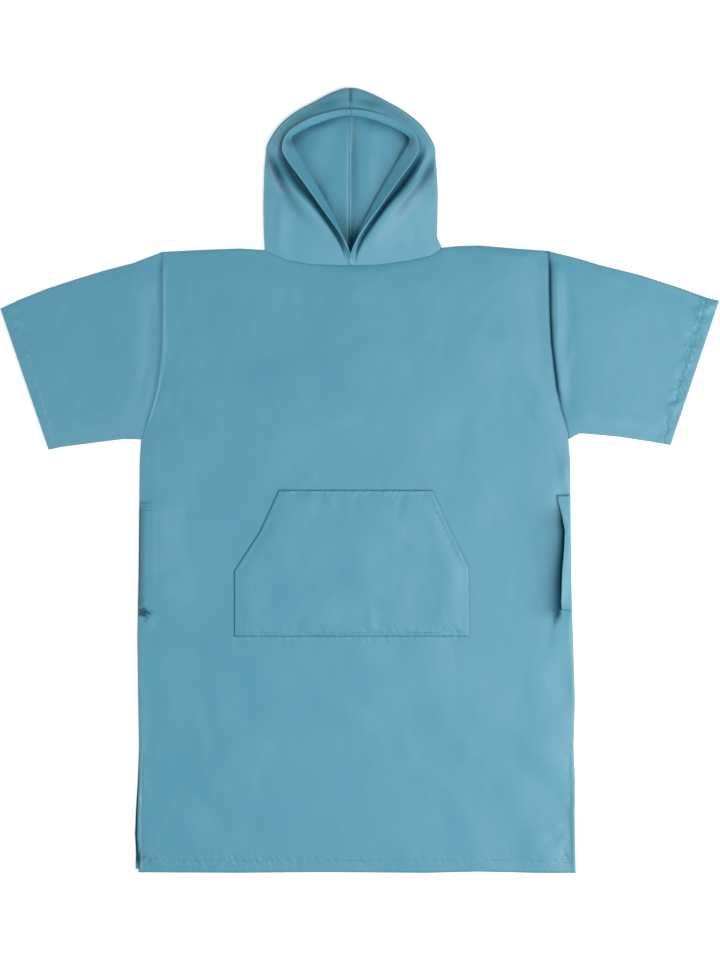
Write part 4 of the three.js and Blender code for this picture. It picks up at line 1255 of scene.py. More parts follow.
@dataclass
class Pocket:
    """Kangaroo pocket on the front panel, with stitched bands along its slants and rows round its seams."""

    form: BodyForm
    left_edge: Table = field(default_factory=lambda: Table("y x", [
        (-263, -211), (-153, -211.3), (-122, -191), (-86.5, -168), (-43.5, -148), (-16.3, -136.2)]))
    right_edge: Table = field(default_factory=lambda: Table("y x", [
        (-263, 184), (-149, 183.2), (-144, 182.5), (-72, 147.5), (-16.3, 122.6)]))
    bottom: float = -263.0
    top: float = -16.3
    loft: float = 1.6
    loft_ease: float = 30.0
    band: float = 8.0
    slope: float = 0.86
    slant_from: float = -150.0
    across: float = 390.0
    edge_rise: float = 0.7
    swells: list[Swell] = field(default_factory=lambda: [
        Swell(-130, -110, 60, 26, 60, 1.2), Swell(-60, -60, 60, 20, 20, -0.9),
        Swell(60, -90, 80, 24, -35, 1.1), Swell(-40, -190, 80, 30, 14, 1.0),
        Swell(110, -200, 60, 24, 80, -0.9), Swell(150, -160, 50, 16, 112, 1.0),
        Swell(-160, -210, 50, 22, 80, -0.8), Swell(-100, -250, 40, 9, 78, -0.6),
        Swell(20, -246, 36, 8, 96, 0.6), Swell(-5, -28, 34, 7, 84, -0.6), Swell(-50, -30, 30, 7, 98, 0.6),
        Swell(70, -32, 30, 8, 80, -0.6),
    ])
    step: float = 3.2

    def on_slant(self, y: Array) -> Array:
        """1 at the levels of the slants and 0 at the short upright sides."""
        return ease((y - self.slant_from) / 8)

    def from_sides(self, x: Array, y: Array) -> tuple[Array, Array]:
        """Level distances inside the left and the right edge."""
        return x - self.left_edge.read("y", "x", y), self.right_edge.read("y", "x", y) - x

    def over(self, x: Array, y: Array) -> Array:
        """Height of the pocket's upper face."""
        from_left, from_right = self.from_sides(x, y)
        from_top, from_bottom = self.top - y, y - self.bottom
        around = np.minimum(np.minimum(from_left, from_right), np.minimum(from_top, from_bottom))
        base = self.form.over(x, y) + 2 * SEAM_GAP + WALL + self.edge_rise * rounded(around / 4)
        base = base + self.loft * ease(around / self.loft_ease)
        relief = 0.5 * cloud(x, y, 52, 31) + 0.2 * cloud(x + 0.5 * y, y, 22, 33)
        relief = (relief + swells_at(self.swells, x, y)) * ease(around / 16)
        slant = self.on_slant(y) * 0.6 * ease((from_top - 4) / 12)
        for gap, seed in ((from_left, 35), (from_right, 37)):
            relief += slant * BodyForm.hem_relief(np.maximum(gap * self.slope, 0), y, self.band, seed)
        away = ease((np.minimum(from_left, from_right) - 3) / 10)
        relief += 0.8 * away * BodyForm.hem_relief(np.maximum(from_bottom, 0), x, 6.5, 39)
        relief += 0.7 * away * BodyForm.hem_relief(np.maximum(from_top, 0), x, 5.0, 41)
        relief -= 0.6 * bump(around, 1.2)
        return base + np.maximum(relief, -0.8)

    def painted_shade(self, x: Array, y: Array) -> Array:
        """Painted shade along the edges: most on the left, less along the top and the bottom."""
        from_left = x - self.left_edge.read("y", "x", y)
        top, bottom = bump(self.top - y, 1.1), bump(y - self.bottom, 1.1)
        return np.clip(0.85 * bump(from_left, 1.3) + 0.55 * top + 0.3 * bottom, 0.0, 0.85)

    def build(self, finish: Finish) -> bpy.types.Object:
        """The front's own points, moved out, with a little room inside."""
        high, wide = self.top - self.bottom, self.across
        bend = self.slant_from - self.bottom
        v = graded(high, self.step, (6.5, bend, high - 5.0), 1.2)[:, None]
        u = graded(wide, self.step, (self.band, wide - self.band), 1.2)[None, :]
        y = self.bottom + high * v + 0 * u
        x = self.left_edge.read("y", "x", y) * (1 - u) + self.right_edge.read("y", "x", y) * u
        over = self.over(x, y)
        under = np.minimum(over - 0.5, self.form.over(x, y) + 2 * SEAM_GAP)
        slant = self.on_slant(y)
        from_left, from_right = self.from_sides(x, y)
        from_ends = ease((np.minimum(from_left, from_right) - 4) / 12)
        from_levels = ease((np.minimum(self.top - y, y - self.bottom) - 8) / 12)
        lanes = strongest_lane([
            Lane(y - self.bottom, x, 5.0, 9.0, 1.1 * from_ends),
            Lane(self.top - y, x, 3.0, 9.0, 1.2 * from_ends),
            Lane(from_left, y, 2.0 + 7.0 * slant, 6.0, (0.5 + 0.6 * slant) * from_levels),
            Lane(from_right, y, 2.0 + 7.0 * slant, 6.0, (0.5 + 0.8 * slant) * from_levels),
        ])
        marks = Marks(lanes, self.painted_shade(x, y))
        cloth = joined(x, y) * METRE
        piece = wall_object("poncho_pocket", joined(x, y, under), joined(x, y, over), cloth, marks)
        dress(piece, finish)
        return piece

    def stitches(self, finish: Finish) -> bpy.types.Object:
        """Double row along the bottom, single rows up the short sides, the top and the slants."""
        sewing = Stitching("pocket_stitches")
        x = np.linspace(-208, 181, 150)
        for rise in (1.8, 6.5):
            self.add(sewing, x, np.full_like(x, self.bottom + rise), uneven(x, 97))
        x = np.linspace(-134, 120.5, 110)
        self.add(sewing, x, np.full_like(x, self.top - 2.0), 0.1)
        low = np.linspace(self.bottom + 3, self.slant_from, 50)
        high = np.linspace(self.slant_from, self.top - 12, 60)
        for inset, y, seed in ((2.0, low, 99), (self.band / self.slope, high, 101)):
            self.add(sewing, self.left_edge.read("y", "x", y) + inset, y, uneven(y, seed) - 0.1)
            self.add(sewing, self.right_edge.read("y", "x", y) - inset, y, uneven(y, seed + 1) - 0.1)
        return sewing.build(finish)

    def add(self, sewing: Stitching, x: Array, y: Array, above: Array | float) -> None:
        """Adds a row that follows the upper face."""
        sewing.row(*flat_path(x, y, self.over(x, y) + above))


@dataclass
class SlitStrip:
    """Turned edge of the right hand slit: a leg on the back, a fold at the side and a leg to the front."""

    free_edge: Table = field(default_factory=lambda: STRIP_EDGE)
    top_z: float = 7.4
    under_leg: float = 4.5
    lip: float = 5.6
    step: float = 2.6

    def middle(self) -> Array:
        """Middle surface: straight leg, half circle, straight leg, at each level."""
        y = np.linspace(-218, -25.5, round(192 / self.step))[:, None]
        low, high = LAYER_TWO + WALL / 2, self.top_z - WALL / 2
        radius = (high - low) / 2
        centre = BODY_EDGE.read("y", "right", y) - WALL / 2 - radius
        free = self.free_edge.read("y", "x", y)
        angle = np.linspace(-np.pi / 2, np.pi / 2, 13)[None, :]
        share = np.linspace(0, 1, 10)[None, 1:]
        leg_x = centre + (free - centre) * share
        open_share = ease((-34 - y) / 50) * ease((y + 216) / 50)
        leg_z = high + self.lip * share**1.4 * (0.06 + 0.94 * open_share)
        leg_z = leg_z + 0.3 * cloud(leg_x, y + 0 * share, 22, 43) * share
        start = centre - self.under_leg
        x = np.hstack([start, start * 0.5 + centre * 0.5, centre + radius * np.cos(angle), leg_x])
        z = np.hstack([low + 0 * y, low + 0 * y, low + radius + radius * np.sin(angle) + 0 * y, leg_z])
        return joined(x, y, z)

    def build(self, finish: Finish) -> bpy.types.Object:
        """The wall on both sides of the middle surface."""
        middle = self.middle()
        normal = surface_normals(middle)
        normal[..., 1] = 0
        across = np.cumsum(np.linalg.norm(np.diff(middle, axis=1, prepend=middle[:, :1]), axis=-1), axis=1)
        uv = np.stack([across, middle[..., 1]], axis=-1) * METRE
        piece = wall_object("slit_strip", middle - normal * WALL / 2, middle + normal * WALL / 2, uv)
        dress(piece, finish)
        return piece

    def stitches(self, finish: Finish) -> bpy.types.Object:
        """Bartack rows across the strip's two ends and a row along its free edge."""
        sewing = Stitching("slit_stitches")
        for level in (-27.5, -36.5, -213.0, -216.5):
            x = np.linspace(self.free_edge.read("y", "x", level) + 1.5, 353.5, 12)
            sewing.row(*flat_path(x, np.full_like(x, level), np.full_like(x, self.top_z + 0.02)))
        y = np.linspace(-211, -39, 60)
        x = self.free_edge.read("y", "x", y) + 3.0
        sewing.row(*flat_path(x, y, np.full_like(x, self.top_z - 0.28)))
        return sewing.build(finish)


# Hood folds: out from the centre seam, up above the front neck seam and height z, a row for each section from
# the neck seam (first) over the side to the crown (last).
HOOD_SECTIONS = Table(
    "seam_up side_out side_up fold shoulder_out shoulder_up shoulder_z ridge_out ridge_up ridge_z "
    "valley_out valley_up valley_z turn_out turn_up turn_z rim_out rim_up rim_z", [
        (26.5, 144.7, 26.1, 0.8, 80, 5.6, 2.6, 16.3, 0.7, 3,
         10.6, 0.45, 3, 5.4, 0.35, 3.2, 0.6, 0.3, 3.4),
        (42, 145.7, 46.3, 1.9, 86, 30, 6, 22.4, 21, 6.6,
         12.4, 17.7, 5, 5.4, 18.4, 4, 0.8, 19.6, 7.2),
        (66.5, 146.4, 73.2, 2.6, 96, 62, 9, 36, 47.5, 11.5,
         24.5, 48.8, 6.2, 14.5, 52.7, 4.4, 17.2, 52.1, 14),
        (98.5, 146.8, 103.5, 3, 113, 99, 10, 68, 91, 17,
         58, 98, 5.2, 41.2, 107.6, 4.8, 51.8, 100.4, 21),
        (130.5, 146.4, 133.8, 3, 126, 134, 9, 102.7, 128.7, 20.5,
         89.5, 137, 5.2, 64.8, 148.9, 6, 80.8, 141.1, 26),
        (164, 143.9, 177.6, 3.2, 136, 171, 10.5, 124, 163, 19.5,
         112, 173, 11, 85.8, 184.6, 9, 106, 175.3, 29),
        (191, 140, 205, 3.4, 136.5, 201.5, 12, 130, 198.5, 17.5,
         120, 199.8, 17.5, 99.5, 209, 14.5, 114.4, 196.9, 30),
        (214.5, 115.3, 240.7, 3.8, 112.5, 236.5, 12.8, 110, 233.5, 16.2,
         106, 229, 18.4, 91.5, 221, 17.5, 101.8, 224.6, 30),
        (238, 70, 271.8, 4.2, 68, 266.5, 13.4, 65.5, 262, 16,
         61, 254.5, 17.8, 54, 238.6, 19.6, 57.2, 248.9, 30),
        (258, 0, 299.4, 4.4, 0, 292, 13.6, 0, 284, 16,
         0, 269, 17.4, 0, 251.9, 20, 0, 259.9, 30),
    ])


def smooth_through(a: Array, b: Array, c: Array, d: Array, t: Array) -> Array:
    """Cubic from b to c whose end slopes are half the differences c - a and d - b."""
    slope_b, slope_c = (c - a) / 2, (d - b) / 2
    t2, t3 = t * t, t * t * t
    near_b = (2 * t3 - 3 * t2 + 1) * b + (t3 - 2 * t2 + t) * slope_b
    return near_b + (3 * t2 - 2 * t3) * c + (t3 - t2) * slope_c


@dataclass
class HoodLining:
    """Rise of the hood's back layer off the floor: soft pillows and the crest of the centre seam."""

    pillows: list[Swell] = field(default_factory=lambda: [
        Swell(16, 560, 70, 15, 88, 2.2), Swell(8, 470, 60, 9, 85, 1.6), Swell(-72, 560, 60, 20, 62, 1.8),
        Swell(52, 540, 60, 16, 118, 1.6), Swell(-44, 500, 66, 12, 74, 1.4),
        Swell(-58, 596, 30, 9, 20, 1.0), Swell(10, 590, 28, 8, -24, 1.0), Swell(-34, 470, 40, 6, 80, 0.9),
        Swell(24, 500, 44, 7, 108, 0.9),
    ])
    # Painted shade on the hood's inside: in its upper corners, under the top of the rim, beside the lower
    # rim, at the foot of the opening and right of the centre seam.
    shades: list[Swell] = field(default_factory=lambda: [
        Swell(-109, 573, 17, 11, 45, 0.5), Swell(-70, 599, 42, 9, 20, 0.36),
        Swell(28, 603, 46, 8, -20, 0.42), Swell(80, 577, 17, 10, -50, 0.5),
        Swell(-60, 466, 46, 8, -67, 0.75), Swell(24, 453, 44, 8, 62, 0.7),
        Swell(-16, 404, 24, 10, 90, 0.85), Swell(-9, 522, 95, 5, 90, 0.5),
        Swell(-32, 430, 30, 8, 80, 0.25),
    ])
    crest: float = 3.3
    crest_x: float = -16.4
    gentle: float = 17.0
    steep: float = 4.2

    def rise(self, x: Array, y: Array) -> Array:
        """Height above the layer's flat lie: pillows, and a crest that is steeper on its right."""
        off = x - self.crest_x - 0.7 * cloud(y * 0, y, 21, 65)
        width = np.where(off < 0, self.gentle, self.steep)
        along = ease((y - NECK_FRONT_Y - 18) / 40) * ease((632 - y) / 50)
        return self.crest * bump(off, width) * along + swells_at(self.pillows, x, y) * along


# Stretches of a hood section, in order from the back centre seam to the rim, and the steps in each.
HOOD_STEPS = {"floor": 16, "fold": 10, "shoulder": 26, "ridge": 22, "valley": 16, "turn": 14, "rim": 16}
HOOD_FOLDS = ("shoulder", "ridge", "valley", "turn", "rim")


def steps_before(name: str) -> int:
    """Steps of a hood section from the back seam to where a stretch begins."""
    names = list(HOOD_STEPS)
    return sum(HOOD_STEPS[each] for each in names[:names.index(name)])


@dataclass
class HoodHalf:
    """Half of the hood: sections from the back centre seam on the floor round the side fold to the rim."""

    side: Side
    back: BackPanel
    lining: HoodLining
    rows_per_section: int = 13
    seam_reach: float = 1.5
    flare: float = 8.5
    flare_reach: float = 1.2
    hem_extra: float = 0.35
    hem_width: float = 22.0
    row_length: float = 330.0
    front_lift: float = 11.0
    valley_shift: float = 2.4
    valley_drop: float = 1.6
    late_drop: float = 2.1
    dents: list[Swell] = field(default_factory=lambda: [
        Swell(-50, 632, 26, 14, 8, -0.9), Swell(17, 632, 24, 14, -10, -0.9),
        Swell(-140, 522, 34, 9, -64, -2.2), Swell(109, 520, 34, 9, 64, -2.2),
        Swell(-54, 434, 16, 5, -52, -1.3), Swell(13, 430, 16, 5, 55, -1.3),
        Swell(-100, 452, 46, 12, -50, -0.8), Swell(72, 446, 46, 12, 52, -0.8),
        Swell(-136, 438, 56, 15, 88, 3.0), Swell(104, 412, 44, 12, 108, 0.4),
    ])
    # Painted shade on the hood's outer side: in its creases and on the crown.
    shades: list[Swell] = field(default_factory=lambda: [
        Swell(-139, 520, 34, 8, -64, 0.85), Swell(115, 516, 34, 9, 64, 0.7),
        Swell(-52, 632, 26, 9, 14, 0.36), Swell(18, 632, 24, 9, -12, 0.4),
        Swell(-112, 468, 36, 9, -56, 0.35), Swell(80, 468, 36, 9, 56, 0.4),
        Swell(-92, 612, 20, 8, 24, 0.15), Swell(64, 611, 24, 8, -24, 0.15),
    ])
    # Painted shade where the rim's band meets the opening's upper corners.
    corner_shades: list[Swell] = field(default_factory=lambda: [
        Swell(-118.5, 566, 10, 6.5, -62, 0.42), Swell(87.5, 566, 10, 6.5, 62, 0.42),
    ])

    @property
    def word(self) -> str:
        """The side's name."""
        return self.side.name.lower()

    def column(self, name: str, place: Array) -> Array:
        """A column of the fold table, read smoothly between its rows; past the crown the rows mirror."""
        values = HOOD_SECTIONS.columns[name]
        sign = -1.0 if name.endswith("_out") else 1.0
        padded = np.concatenate([values[:1], values, [sign * values[-2]]])
        row = np.minimum(np.floor(place).astype(int), len(values) - 2)
        return smooth_through(padded[row], padded[row + 1], padded[row + 2], padded[row + 3], place - row)

    def fold(self, name: str, place: Array) -> Array:
        """Points of one fold, one for each section."""
        z = self.column(f"{name}_z", place) if f"{name}_z" in HOOD_SECTIONS.columns else 0 * place
        return joined(self.column(f"{name}_out", place), self.column(f"{name}_up", place), z)

    def middle(self) -> tuple[Array, Array]:
        """Middle surface of the cloth.

        Each section is straight on the floor, a half circle at the side fold and then a smooth curve
        through shoulder, ridge, valley, turn and rim.

        Returns:
            Points in mm, sections by points by 3, and the share of each point along its section's last
            stretch, from 0 at the turn to 1 at the rim.
        """
        count = len(HOOD_SECTIONS.columns["fold"]) - 1
        place = np.linspace(0, count, count * self.rows_per_section + 1)
        half = WALL / 2
        seam = joined(0 * place, self.column("seam_up", place), 0 * place + half)
        radius = self.column("fold", place)[:, None]
        side_edge = self.fold("side", place)
        if self.side is Side.RIGHT:
            side_edge[:, 0] += self.flare * (1 - ease(place / self.flare_reach))
        inward = (seam - side_edge) * (1, 1, 0)
        inward /= np.linalg.norm(inward, axis=1, keepdims=True)
        foot = side_edge + inward * (radius + half)
        foot[:, 2] = half
        floor_share = np.linspace(0, 1, HOOD_STEPS["floor"], endpoint=False)[None, :, None]
        stretches = [seam[:, None] * (1 - floor_share) + foot[:, None] * floor_share]
        angle = (np.pi * np.arange(HOOD_STEPS["fold"]) / HOOD_STEPS["fold"] - np.pi / 2)[None, :, None]
        bend = foot[:, None] - inward[:, None] * radius[:, None] * np.cos(angle)
        bend = bend + np.array([0, 0, 1.0]) * (radius[:, None] * (1 + np.sin(angle)))
        stretches.append(bend)
        crest = foot + np.array([0, 0, 2.0]) * radius
        before = crest - inward * radius - np.array([0, 0, 1.0]) * radius
        knots = [before, crest, *(self.fold(name, place) for name in HOOD_FOLDS)]
        knots.append(2 * knots[-1] - knots[-2])
        deep = (ease(place / 1.5) * ease((6.4 - place) / 1.8))[:, None]
        to_rim = knots[6] - knots[4]
        to_rim[:, 2] = 0
        to_rim /= np.maximum(np.linalg.norm(to_rim, axis=1, keepdims=True), 1e-9)
        knots[4] = knots[4] + deep * (to_rim * self.valley_shift - np.array([0, 0, self.valley_drop]))
        for n, name in enumerate(HOOD_FOLDS):
            last = name == "rim"
            t = np.linspace(0, 1, HOOD_STEPS[name] + int(last), endpoint=last)[None, :, None]
            stretch = smooth_through(*(knot[:, None] for knot in knots[n:n + 4]), t)
            if name == "valley":
                late = smooth_through(*(knot[:, None] for knot in knots[n:n + 4]), t**self.late_drop)
                stretch[..., 2] += (late - stretch)[..., 2] * deep
            stretches.append(stretch)
        grid = np.concatenate(stretches, axis=1)
        rim_share = np.zeros(grid.shape[1])
        rim_share[-HOOD_STEPS["rim"] - 1:] = np.linspace(0, 1, HOOD_STEPS["rim"] + 1)
        grid[-1, :, 0] = 0
        grid[:, 0, 0] = 0
        world = np.stack([
            HOOD_MIDDLE_X + self.side.value * (np.maximum(grid[..., 0], 0) + HOOD_SEAM_GAP / 2),
            NECK_FRONT_Y + grid[..., 1], grid[..., 2]], axis=-1)
        front = FRONT_TOP.read("x", "y", world[0, :, 0])
        floor_end = HOOD_STEPS["floor"] + HOOD_STEPS["fold"] + 1
        target = np.where(np.arange(grid.shape[1]) < floor_end,
                          np.maximum(self.back.neck(world[0, :, 0]), front), front)
        to_seam = target + HOOD_SEAM_GAP - world[0, :, 1]
        world[..., 1] += to_seam[None, :] * (1 - ease(place / self.seam_reach))[:, None]
        return world, rim_share

    def faces(self) -> tuple[Array, Array]:
        """Inner and outer face: the middle surface moved along its normals, with a thicker hem at the rim."""
        middle, rim_share = self.middle()
        normal = surface_normals(middle)
        normal[-1, :, 0] = 0
        normal[:, 0, 0] = 0
        normal[0, :, 1] = 0
        normal /= np.maximum(np.linalg.norm(normal, axis=-1, keepdims=True), 1e-9)
        up = np.sign(normal[middle.shape[0] // 2, 2, 2]) * -1.0
        outward = normal * up
        lifted = ease((middle[..., 2] - 1.6) / 4)
        unevenness = 0.5 * cloud(middle[..., 0], middle[..., 1] + middle[..., 2], 41, 51)
        unevenness += 0.2 * cloud(middle[..., 0] * 1.3, middle[..., 1], 17, 53)
        from_seam = np.abs(middle[..., 0] - HOOD_MIDDLE_X)
        sink = 0.75 * bump(from_seam, 2.6) * lifted
        column = np.arange(middle.shape[1])
        folded = column >= steps_before("shoulder")
        before_valley = column < steps_before("valley") + 6
        x, y = middle[..., 0], middle[..., 1]
        sink = sink - swells_at(self.dents, x, y) * lifted * before_valley
        rows = np.linspace(0, 1, middle.shape[0])[:, None]
        sections = rows * (len(HOOD_SECTIONS.columns["fold"]) - 1)
        middle[..., 2] += self.front_lift * bump(sections - 1.7, 1.0) * rim_share[None, :]
        rise = self.lining.rise(x, y) * ~folded * ease(rows / 0.12)
        middle = middle + rise[..., None] * np.array([0.0, 0.0, 1.0])
        uneven_out = unevenness * lifted * (1 - rim_share[None, :]) - sink
        middle = middle + outward * uneven_out[..., None]
        thick = WALL / 2 + self.hem_extra * ease(rim_share / 0.12)[None, :, None]
        thick = thick * (1 - 0.35 * ease((rim_share - 0.94) / 0.06))[None, :, None]
        outer, inner = middle + outward * thick, middle - outward * thick
        for face in (outer, inner):
            off = self.side.value * (face[..., 0] - HOOD_MIDDLE_X)
            face[..., 0] = HOOD_MIDDLE_X + self.side.value * np.maximum(off, HOOD_SEAM_GAP / 2)
            face[..., 2] = np.maximum(face[..., 2], 0)
        return inner, outer

    def build(self, finish: Finish) -> bpy.types.Object:
        """The wall between the two faces, with cloth coordinates by length along the section and the rows."""
        inner, outer = self.faces()
        step = np.linalg.norm(np.diff(outer, axis=1, prepend=outer[:, :1]), axis=-1)
        across = np.cumsum(step, axis=1)
        rows = np.arange(outer.shape[0])[:, None] * (self.row_length / outer.shape[0]) + 0 * across
        _, rim_share = self.middle()
        sections = np.linspace(0, len(HOOD_SECTIONS.columns["fold"]) - 1, outer.shape[0])[:, None]
        # Painted shade: the inner faces, which show the hood's inside, take the darker tone everywhere but on
        # the rim's band.
        back = np.broadcast_to(1 - ease((rim_share[None, :] - 0.08) / 0.05), across.shape)
        lanes = strongest_lane([
            Lane(self.hem_width * (1 - rim_share[None, :]) + 99.0 * (rim_share[None, :] == 0), rows,
                 self.hem_width * 0.8, 7.0, 0.8),
            Lane(np.abs(outer[..., 0] - HOOD_MIDDLE_X), rows, 0.0, 7.0, 0.6),
        ])
        cloth = joined(across, rows) * METRE
        from_turn = np.arange(outer.shape[1]) - steps_before("turn")
        # Painted shade: in the valley beside the rim along the sides, from the shade ovals, along the crown's
        # centre seam and at the opening's upper corners.
        rims = ease((sections - 0.4) / 1.2) * ease((6.1 - sections) / 1.8)
        x, y = outer[..., 0], outer[..., 1]
        painted_shade = 0.62 * rims * bump(from_turn + 2, 6.5)[None, :]
        painted_shade = painted_shade + swells_at(self.shades, x, y) * ((from_turn < 0) & (from_turn > -60))[None, :]
        crown_seam_shade = 0.5 * bump(np.abs(x - HOOD_MIDDLE_X), 1.6)
        painted_shade = painted_shade + crown_seam_shade * ((from_turn < -4) & (from_turn > -70))[None, :]
        at_corners = (from_turn >= 0) & (rim_share < 0.8)
        painted_shade = painted_shade + swells_at(self.corner_shades, x, y) * at_corners[None, :]
        # Painted shade on the lining, from its own ovals.
        floor_end = HOOD_STEPS["floor"] + HOOD_STEPS["fold"] // 2
        painted_shade[:, :floor_end] = swells_at(self.lining.shades, x, y)[:, :floor_end]
        painted_shade = np.clip(painted_shade, 0.0, 0.95)
        piece = wall_object(f"poncho_hood_{self.word}", inner, outer, cloth, Marks(lanes, painted_shade, back))
        dress(piece, finish)
        return piece

    def stitches(self, finish: Finish) -> bpy.types.Object:
        """The hem's row on the inner face, just above the turn."""
        size = StitchSize(length=2.6, pitch=3.4, width=0.7, height=0.4)
        sewing = Stitching(f"rim_stitches_{self.word}", size)
        inner, outer = self.faces()
        column = -HOOD_STEPS["rim"] + 2
        rows = slice(2 * self.rows_per_section, -2)
        up = inner[rows, column] - outer[rows, column]
        up /= np.linalg.norm(up, axis=1, keepdims=True)
        sewing.row(inner[rows, column] + up * 0.08, up)
        return sewing.build(finish)


@dataclass
class HoodSeamAllowance:
    """Seam allowance of the hood's back seam: over the crest, turned to the right and overlocked."""

    lining: HoodLining
    low_up: float = 26.0
    high_up: float = 258.0
    start: float = -1.9
    width: float = 9.5
    thickness: float = 0.7

    def faces(self) -> tuple[Array, Array]:
        """A band that follows the lining from left of the seam to an edge that wavers with the overlock."""
        y = NECK_FRONT_Y + np.linspace(self.low_up, self.high_up, 180)[:, None]
        share = np.array([0.0, 0.05, 0.12, 0.2, 0.3, 0.42, 0.56, 0.7, 0.84, 0.95, 1.0])[None, :]
        waver = 0.5 * cloud(y, y * 0 + 3, 9, 61) + 0.35 * np.sin(y * 2 * np.pi / 4.1)
        x = HOOD_MIDDLE_X + self.start + share * (self.width + waver)
        shape = ease(share / 0.12) * (1 - 0.5 * ease((share - 0.2) / 0.3))
        shape = shape * (1 - 0.6 * ease((share - 0.93) / 0.07))
        lie = WALL + 0.05 + self.lining.rise(x, y + 0 * x)
        rise = self.thickness * shape + 0.12 * cloud(x, y + 0 * x, 8, 63)
        under = joined(x, y, lie)
        return under, joined(x, y, lie + np.maximum(rise, 0.15))

    def build(self, finish: Finish) -> bpy.types.Object:
        """The band's closed mesh."""
        under, over = self.faces()
        # Painted shade: the lining's shade ovals, carried onto the allowance.
        marks = Marks(painted_shade=np.clip(swells_at(self.lining.shades, over[..., 0], over[..., 1]), 0.0, 0.9))
        piece = wall_object("hood_seam_allowance", under, over, over[..., :2] * METRE, marks)
        dress(piece, finish)
        return piece

    def stitches(self, finish: Finish) -> bpy.types.Object:
        """Overlock stitches along the free edge."""
        sewing = Stitching("hood_overlock", StitchSize(length=3.0, pitch=4.0, width=0.6, height=0.4))
        _, over = self.faces()
        for column in (7, 9):
            sewing.row(*flat_path(*(over[:, column] + np.array([0, 0, 0.1])).T))
        return sewing.build(finish)


LEFT_SLEEVE = Sleeve(
    side=Side.LEFT,
    top=Table("x y", [
        (-334, 384.1), (-381.6, 365.6), (-433, 352.2), (-477, 338.7), (-528, 322), (-572, 304.2),
        (-605, 289),
    ]),
    below=Table("x y", [
        (-368.5, 68.5), (-400, 69), (-437, 64.4), (-471, 60), (-504.5, 55.6), (-523.5, 51.2),
    ]),
    swells=[
        Swell(-400, 300, 90, 30, 35, 1.2), Swell(-470, 200, 110, 34, 55, -0.9),
        Swell(-420, 120, 90, 26, 20, 0.9), Swell(-545, 200, 80, 24, 70, 0.8),
    ],
    creases=[
        Swell(-352, 250, 60, 9, 88, -0.8), Swell(-372, 150, 50, 9, 70, -0.7),
        Swell(-430, 330, 60, 8, 22, 0.6), Swell(-500, 270, 50, 9, 60, -0.6),
        Swell(-440, 90, 50, 7, 8, 0.6), Swell(-560, 150, 40, 8, 76, -0.6),
        Swell(-480, 110, 40, 7, 30, -0.6),
    ],
    seed=71,
    puff=0.7,
    cuff_pucker=1.2,
    cuff_relief=1.5,
)
RIGHT_SLEEVE = Sleeve(
    side=Side.RIGHT,
    top=Table("x y", [
        (318.8, 385.6), (371, 372.4), (404, 362.3), (472, 345.4), (539, 323.6), (586, 306.7),
        (605, 302.2),
    ]),
    below=Table("x y", [
        (351.6, 68.5), (370.7, 79), (404, 76.2), (438, 72.8), (472, 67.7), (523.2, 59.3),
    ]),
    swells=[
        Swell(331, 310, 62, 8.5, 94, 4.0), Swell(420, 290, 100, 34, 140, 1.1),
        Swell(480, 190, 100, 36, 120, -0.9), Swell(380, 130, 60, 22, 60, 0.9),
        Swell(560, 210, 80, 26, 108, 0.8),
    ],
    creases=[
        Swell(333, 300, 58, 6, 92, 1.6), Swell(356, 270, 70, 9, 96, -0.7),
        Swell(331, 366, 9, 2.4, 125, -1.2), Swell(350, 200, 46, 7, 78, 0.7),
        Swell(430, 340, 50, 8, 160, 0.5), Swell(520, 260, 50, 9, 112, -0.6),
        Swell(460, 100, 50, 8, 170, 0.6), Swell(570, 180, 40, 8, 105, -0.6),
    ],
    seed=81,
    puff=3.8,
    puff_at=7.0,
    seam_shade=0.8,
    hole_drop_and_shade=0.5,
    hole_rise=0.0,
    row_sink=0.2,
    cuff_pucker=3.0,
    cuff_relief=3.2,
)


# Studio

@dataclass(frozen=True)
class SoftBox:
    """A square area light aimed at the garment's middle: place in metres, power in watts, side in metres."""

    name: str
    place: tuple[float, float, float]
    power: float
    side: float

    def build(self) -> None:
        """Adds the light."""
        lamp = bpy.data.lights.new(self.name, "AREA")
        lamp.energy = self.power
        lamp.size = self.side
        made = link_object(self.name, lamp)
        made.location = self.place
        made.rotation_euler = (-made.location).to_track_quat("-Z", "Y").to_euler()


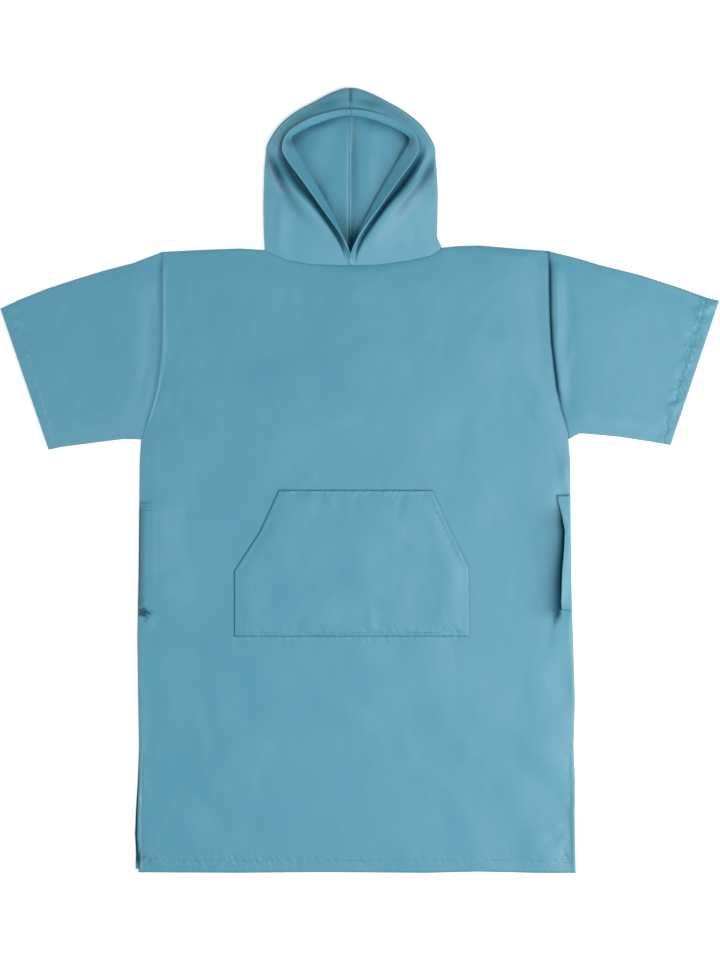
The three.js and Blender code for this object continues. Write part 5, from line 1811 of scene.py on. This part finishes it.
@dataclass
class Studio:
    """Pale floor, soft light from the right and all round, and a camera straight above."""

    mm_per_pixel: float = 1.683
    frame_height: int = 960
    lens: float = 150.0
    sensor: float = 36.0
    farthest: float = 200.0
    cloth_height: float = 3.0
    floor_reach: float = 40.0
    floor_drop: float = 0.0006
    aim: tuple[float, float] = (0.4, 0.4)
    sky: float = 0.3
    floor_glow: float = 0.42
    boxes: tuple[SoftBox, ...] = (
        SoftBox("top_box", (1.45, -0.4, 2.9), 40.0, 1.1),
        SoftBox("right_box", (3.0, -1.0, 2.4), 62.0, 1.4),
        SoftBox("left_box", (-3.3, 0.0, 2.1), 48.0, 1.4),
    )

    def build(self) -> None:
        """Makes floor, world, lights and camera."""
        self.floor()
        self.light()
        self.camera()

    def floor(self) -> None:
        """A wide pale sheet just under the garment."""
        square = ((-1, -1), (1, -1), (1, 1), (-1, 1))
        corners = [(x * self.floor_reach, y * self.floor_reach, -self.floor_drop) for x, y in square]
        mesh = bpy.data.meshes.new("floor")
        mesh.from_pydata(corners, [], [(0, 1, 2, 3)])
        shader = Shader("pale_floor")
        body = shader.node("ShaderNodeBsdfPrincipled", {}, {
            "Base Color": (0.86, 0.86, 0.86, 1.0), "Roughness": 0.95, "Specular IOR Level": 0.0,
            "Emission Color": (1.0, 1.0, 1.0, 1.0), "Emission Strength": self.floor_glow})
        mesh.materials.append(shader.surface(body.outputs[0]))
        link_object("floor", mesh)

    def light(self) -> None:
        """An even sky and the soft boxes."""
        world = bpy.data.worlds.new("studio")
        bpy.context.scene.world = world
        world.use_nodes = True
        background = world.node_tree.nodes["Background"]
        background.inputs[0].default_value = (1.0, 1.0, 1.0, 1.0)
        background.inputs[1].default_value = self.sky
        for box in self.boxes:
            box.build()

    def camera(self) -> None:
        """A long lens straight above, at the height that gives the photo's scale."""
        data = bpy.data.cameras.new("above")
        data.lens = self.lens
        data.sensor_width = self.sensor
        half_view = self.mm_per_pixel * self.frame_height / 2
        height = half_view * self.lens / (self.sensor / 2) + self.cloth_height
        made = link_object("above", data)
        made.location = (self.aim[0] * METRE, self.aim[1] * METRE, height * METRE)
        data.clip_end = self.farthest
        bpy.context.scene.camera = made
        bpy.context.scene.view_settings.view_transform = "Standard"


def place(piece: bpy.types.Object, *nodes: str) -> bpy.types.Object:
    """Ties a piece to the part's one body and hides the nodes that it stands for."""
    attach(piece, "root")
    if nodes:
        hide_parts(*nodes)
    LOG.info("%s: %d faces", piece.name, len(piece.data.polygons))
    return piece


def main() -> None:
    """Builds and dresses every piece in order."""
    logging.basicConfig(level=logging.INFO, format="%(message)s")
    cloth, hood_cloth, thread = BrushedMicrofibre(), PaintedLightHoodMicrofibre(), PolyesterThread()
    form = BodyForm()
    back = BackPanel()
    back_piece = place(back.build(cloth), "back_panel")
    front = FrontPanel(form)
    front_piece = place(front.build(cloth), "front_panel")
    front_sewing = place(front.stitches(thread))
    knot = place(front.knot(KNOT_THREAD))
    for sleeve in (LEFT_SLEEVE, RIGHT_SLEEVE):
        piece = place(sleeve.build(cloth), f"sleeve_{sleeve.word}")
        sewing = place(sleeve.stitches(thread))
    pocket = Pocket(form)
    pocket_piece = place(pocket.build(cloth), "pocket")
    pocket_sewing = place(pocket.stitches(thread))
    strip = SlitStrip()
    strip_piece = place(strip.build(cloth), "slit_strip_right")
    strip_sewing = place(strip.stitches(thread))
    lining = HoodLining()
    allowance = HoodSeamAllowance(lining)
    allowance_piece = place(allowance.build(hood_cloth))
    overlock = place(allowance.stitches(thread))
    for side in Side:
        half = HoodHalf(side, back, lining)
        piece = place(half.build(hood_cloth), f"hood_{half.word}")
        extra = [place(half.stitches(thread))]
        if side is Side.RIGHT:
            extra += [allowance_piece, overlock]
    Studio().build()


if __name__ == "__main__":
    main()
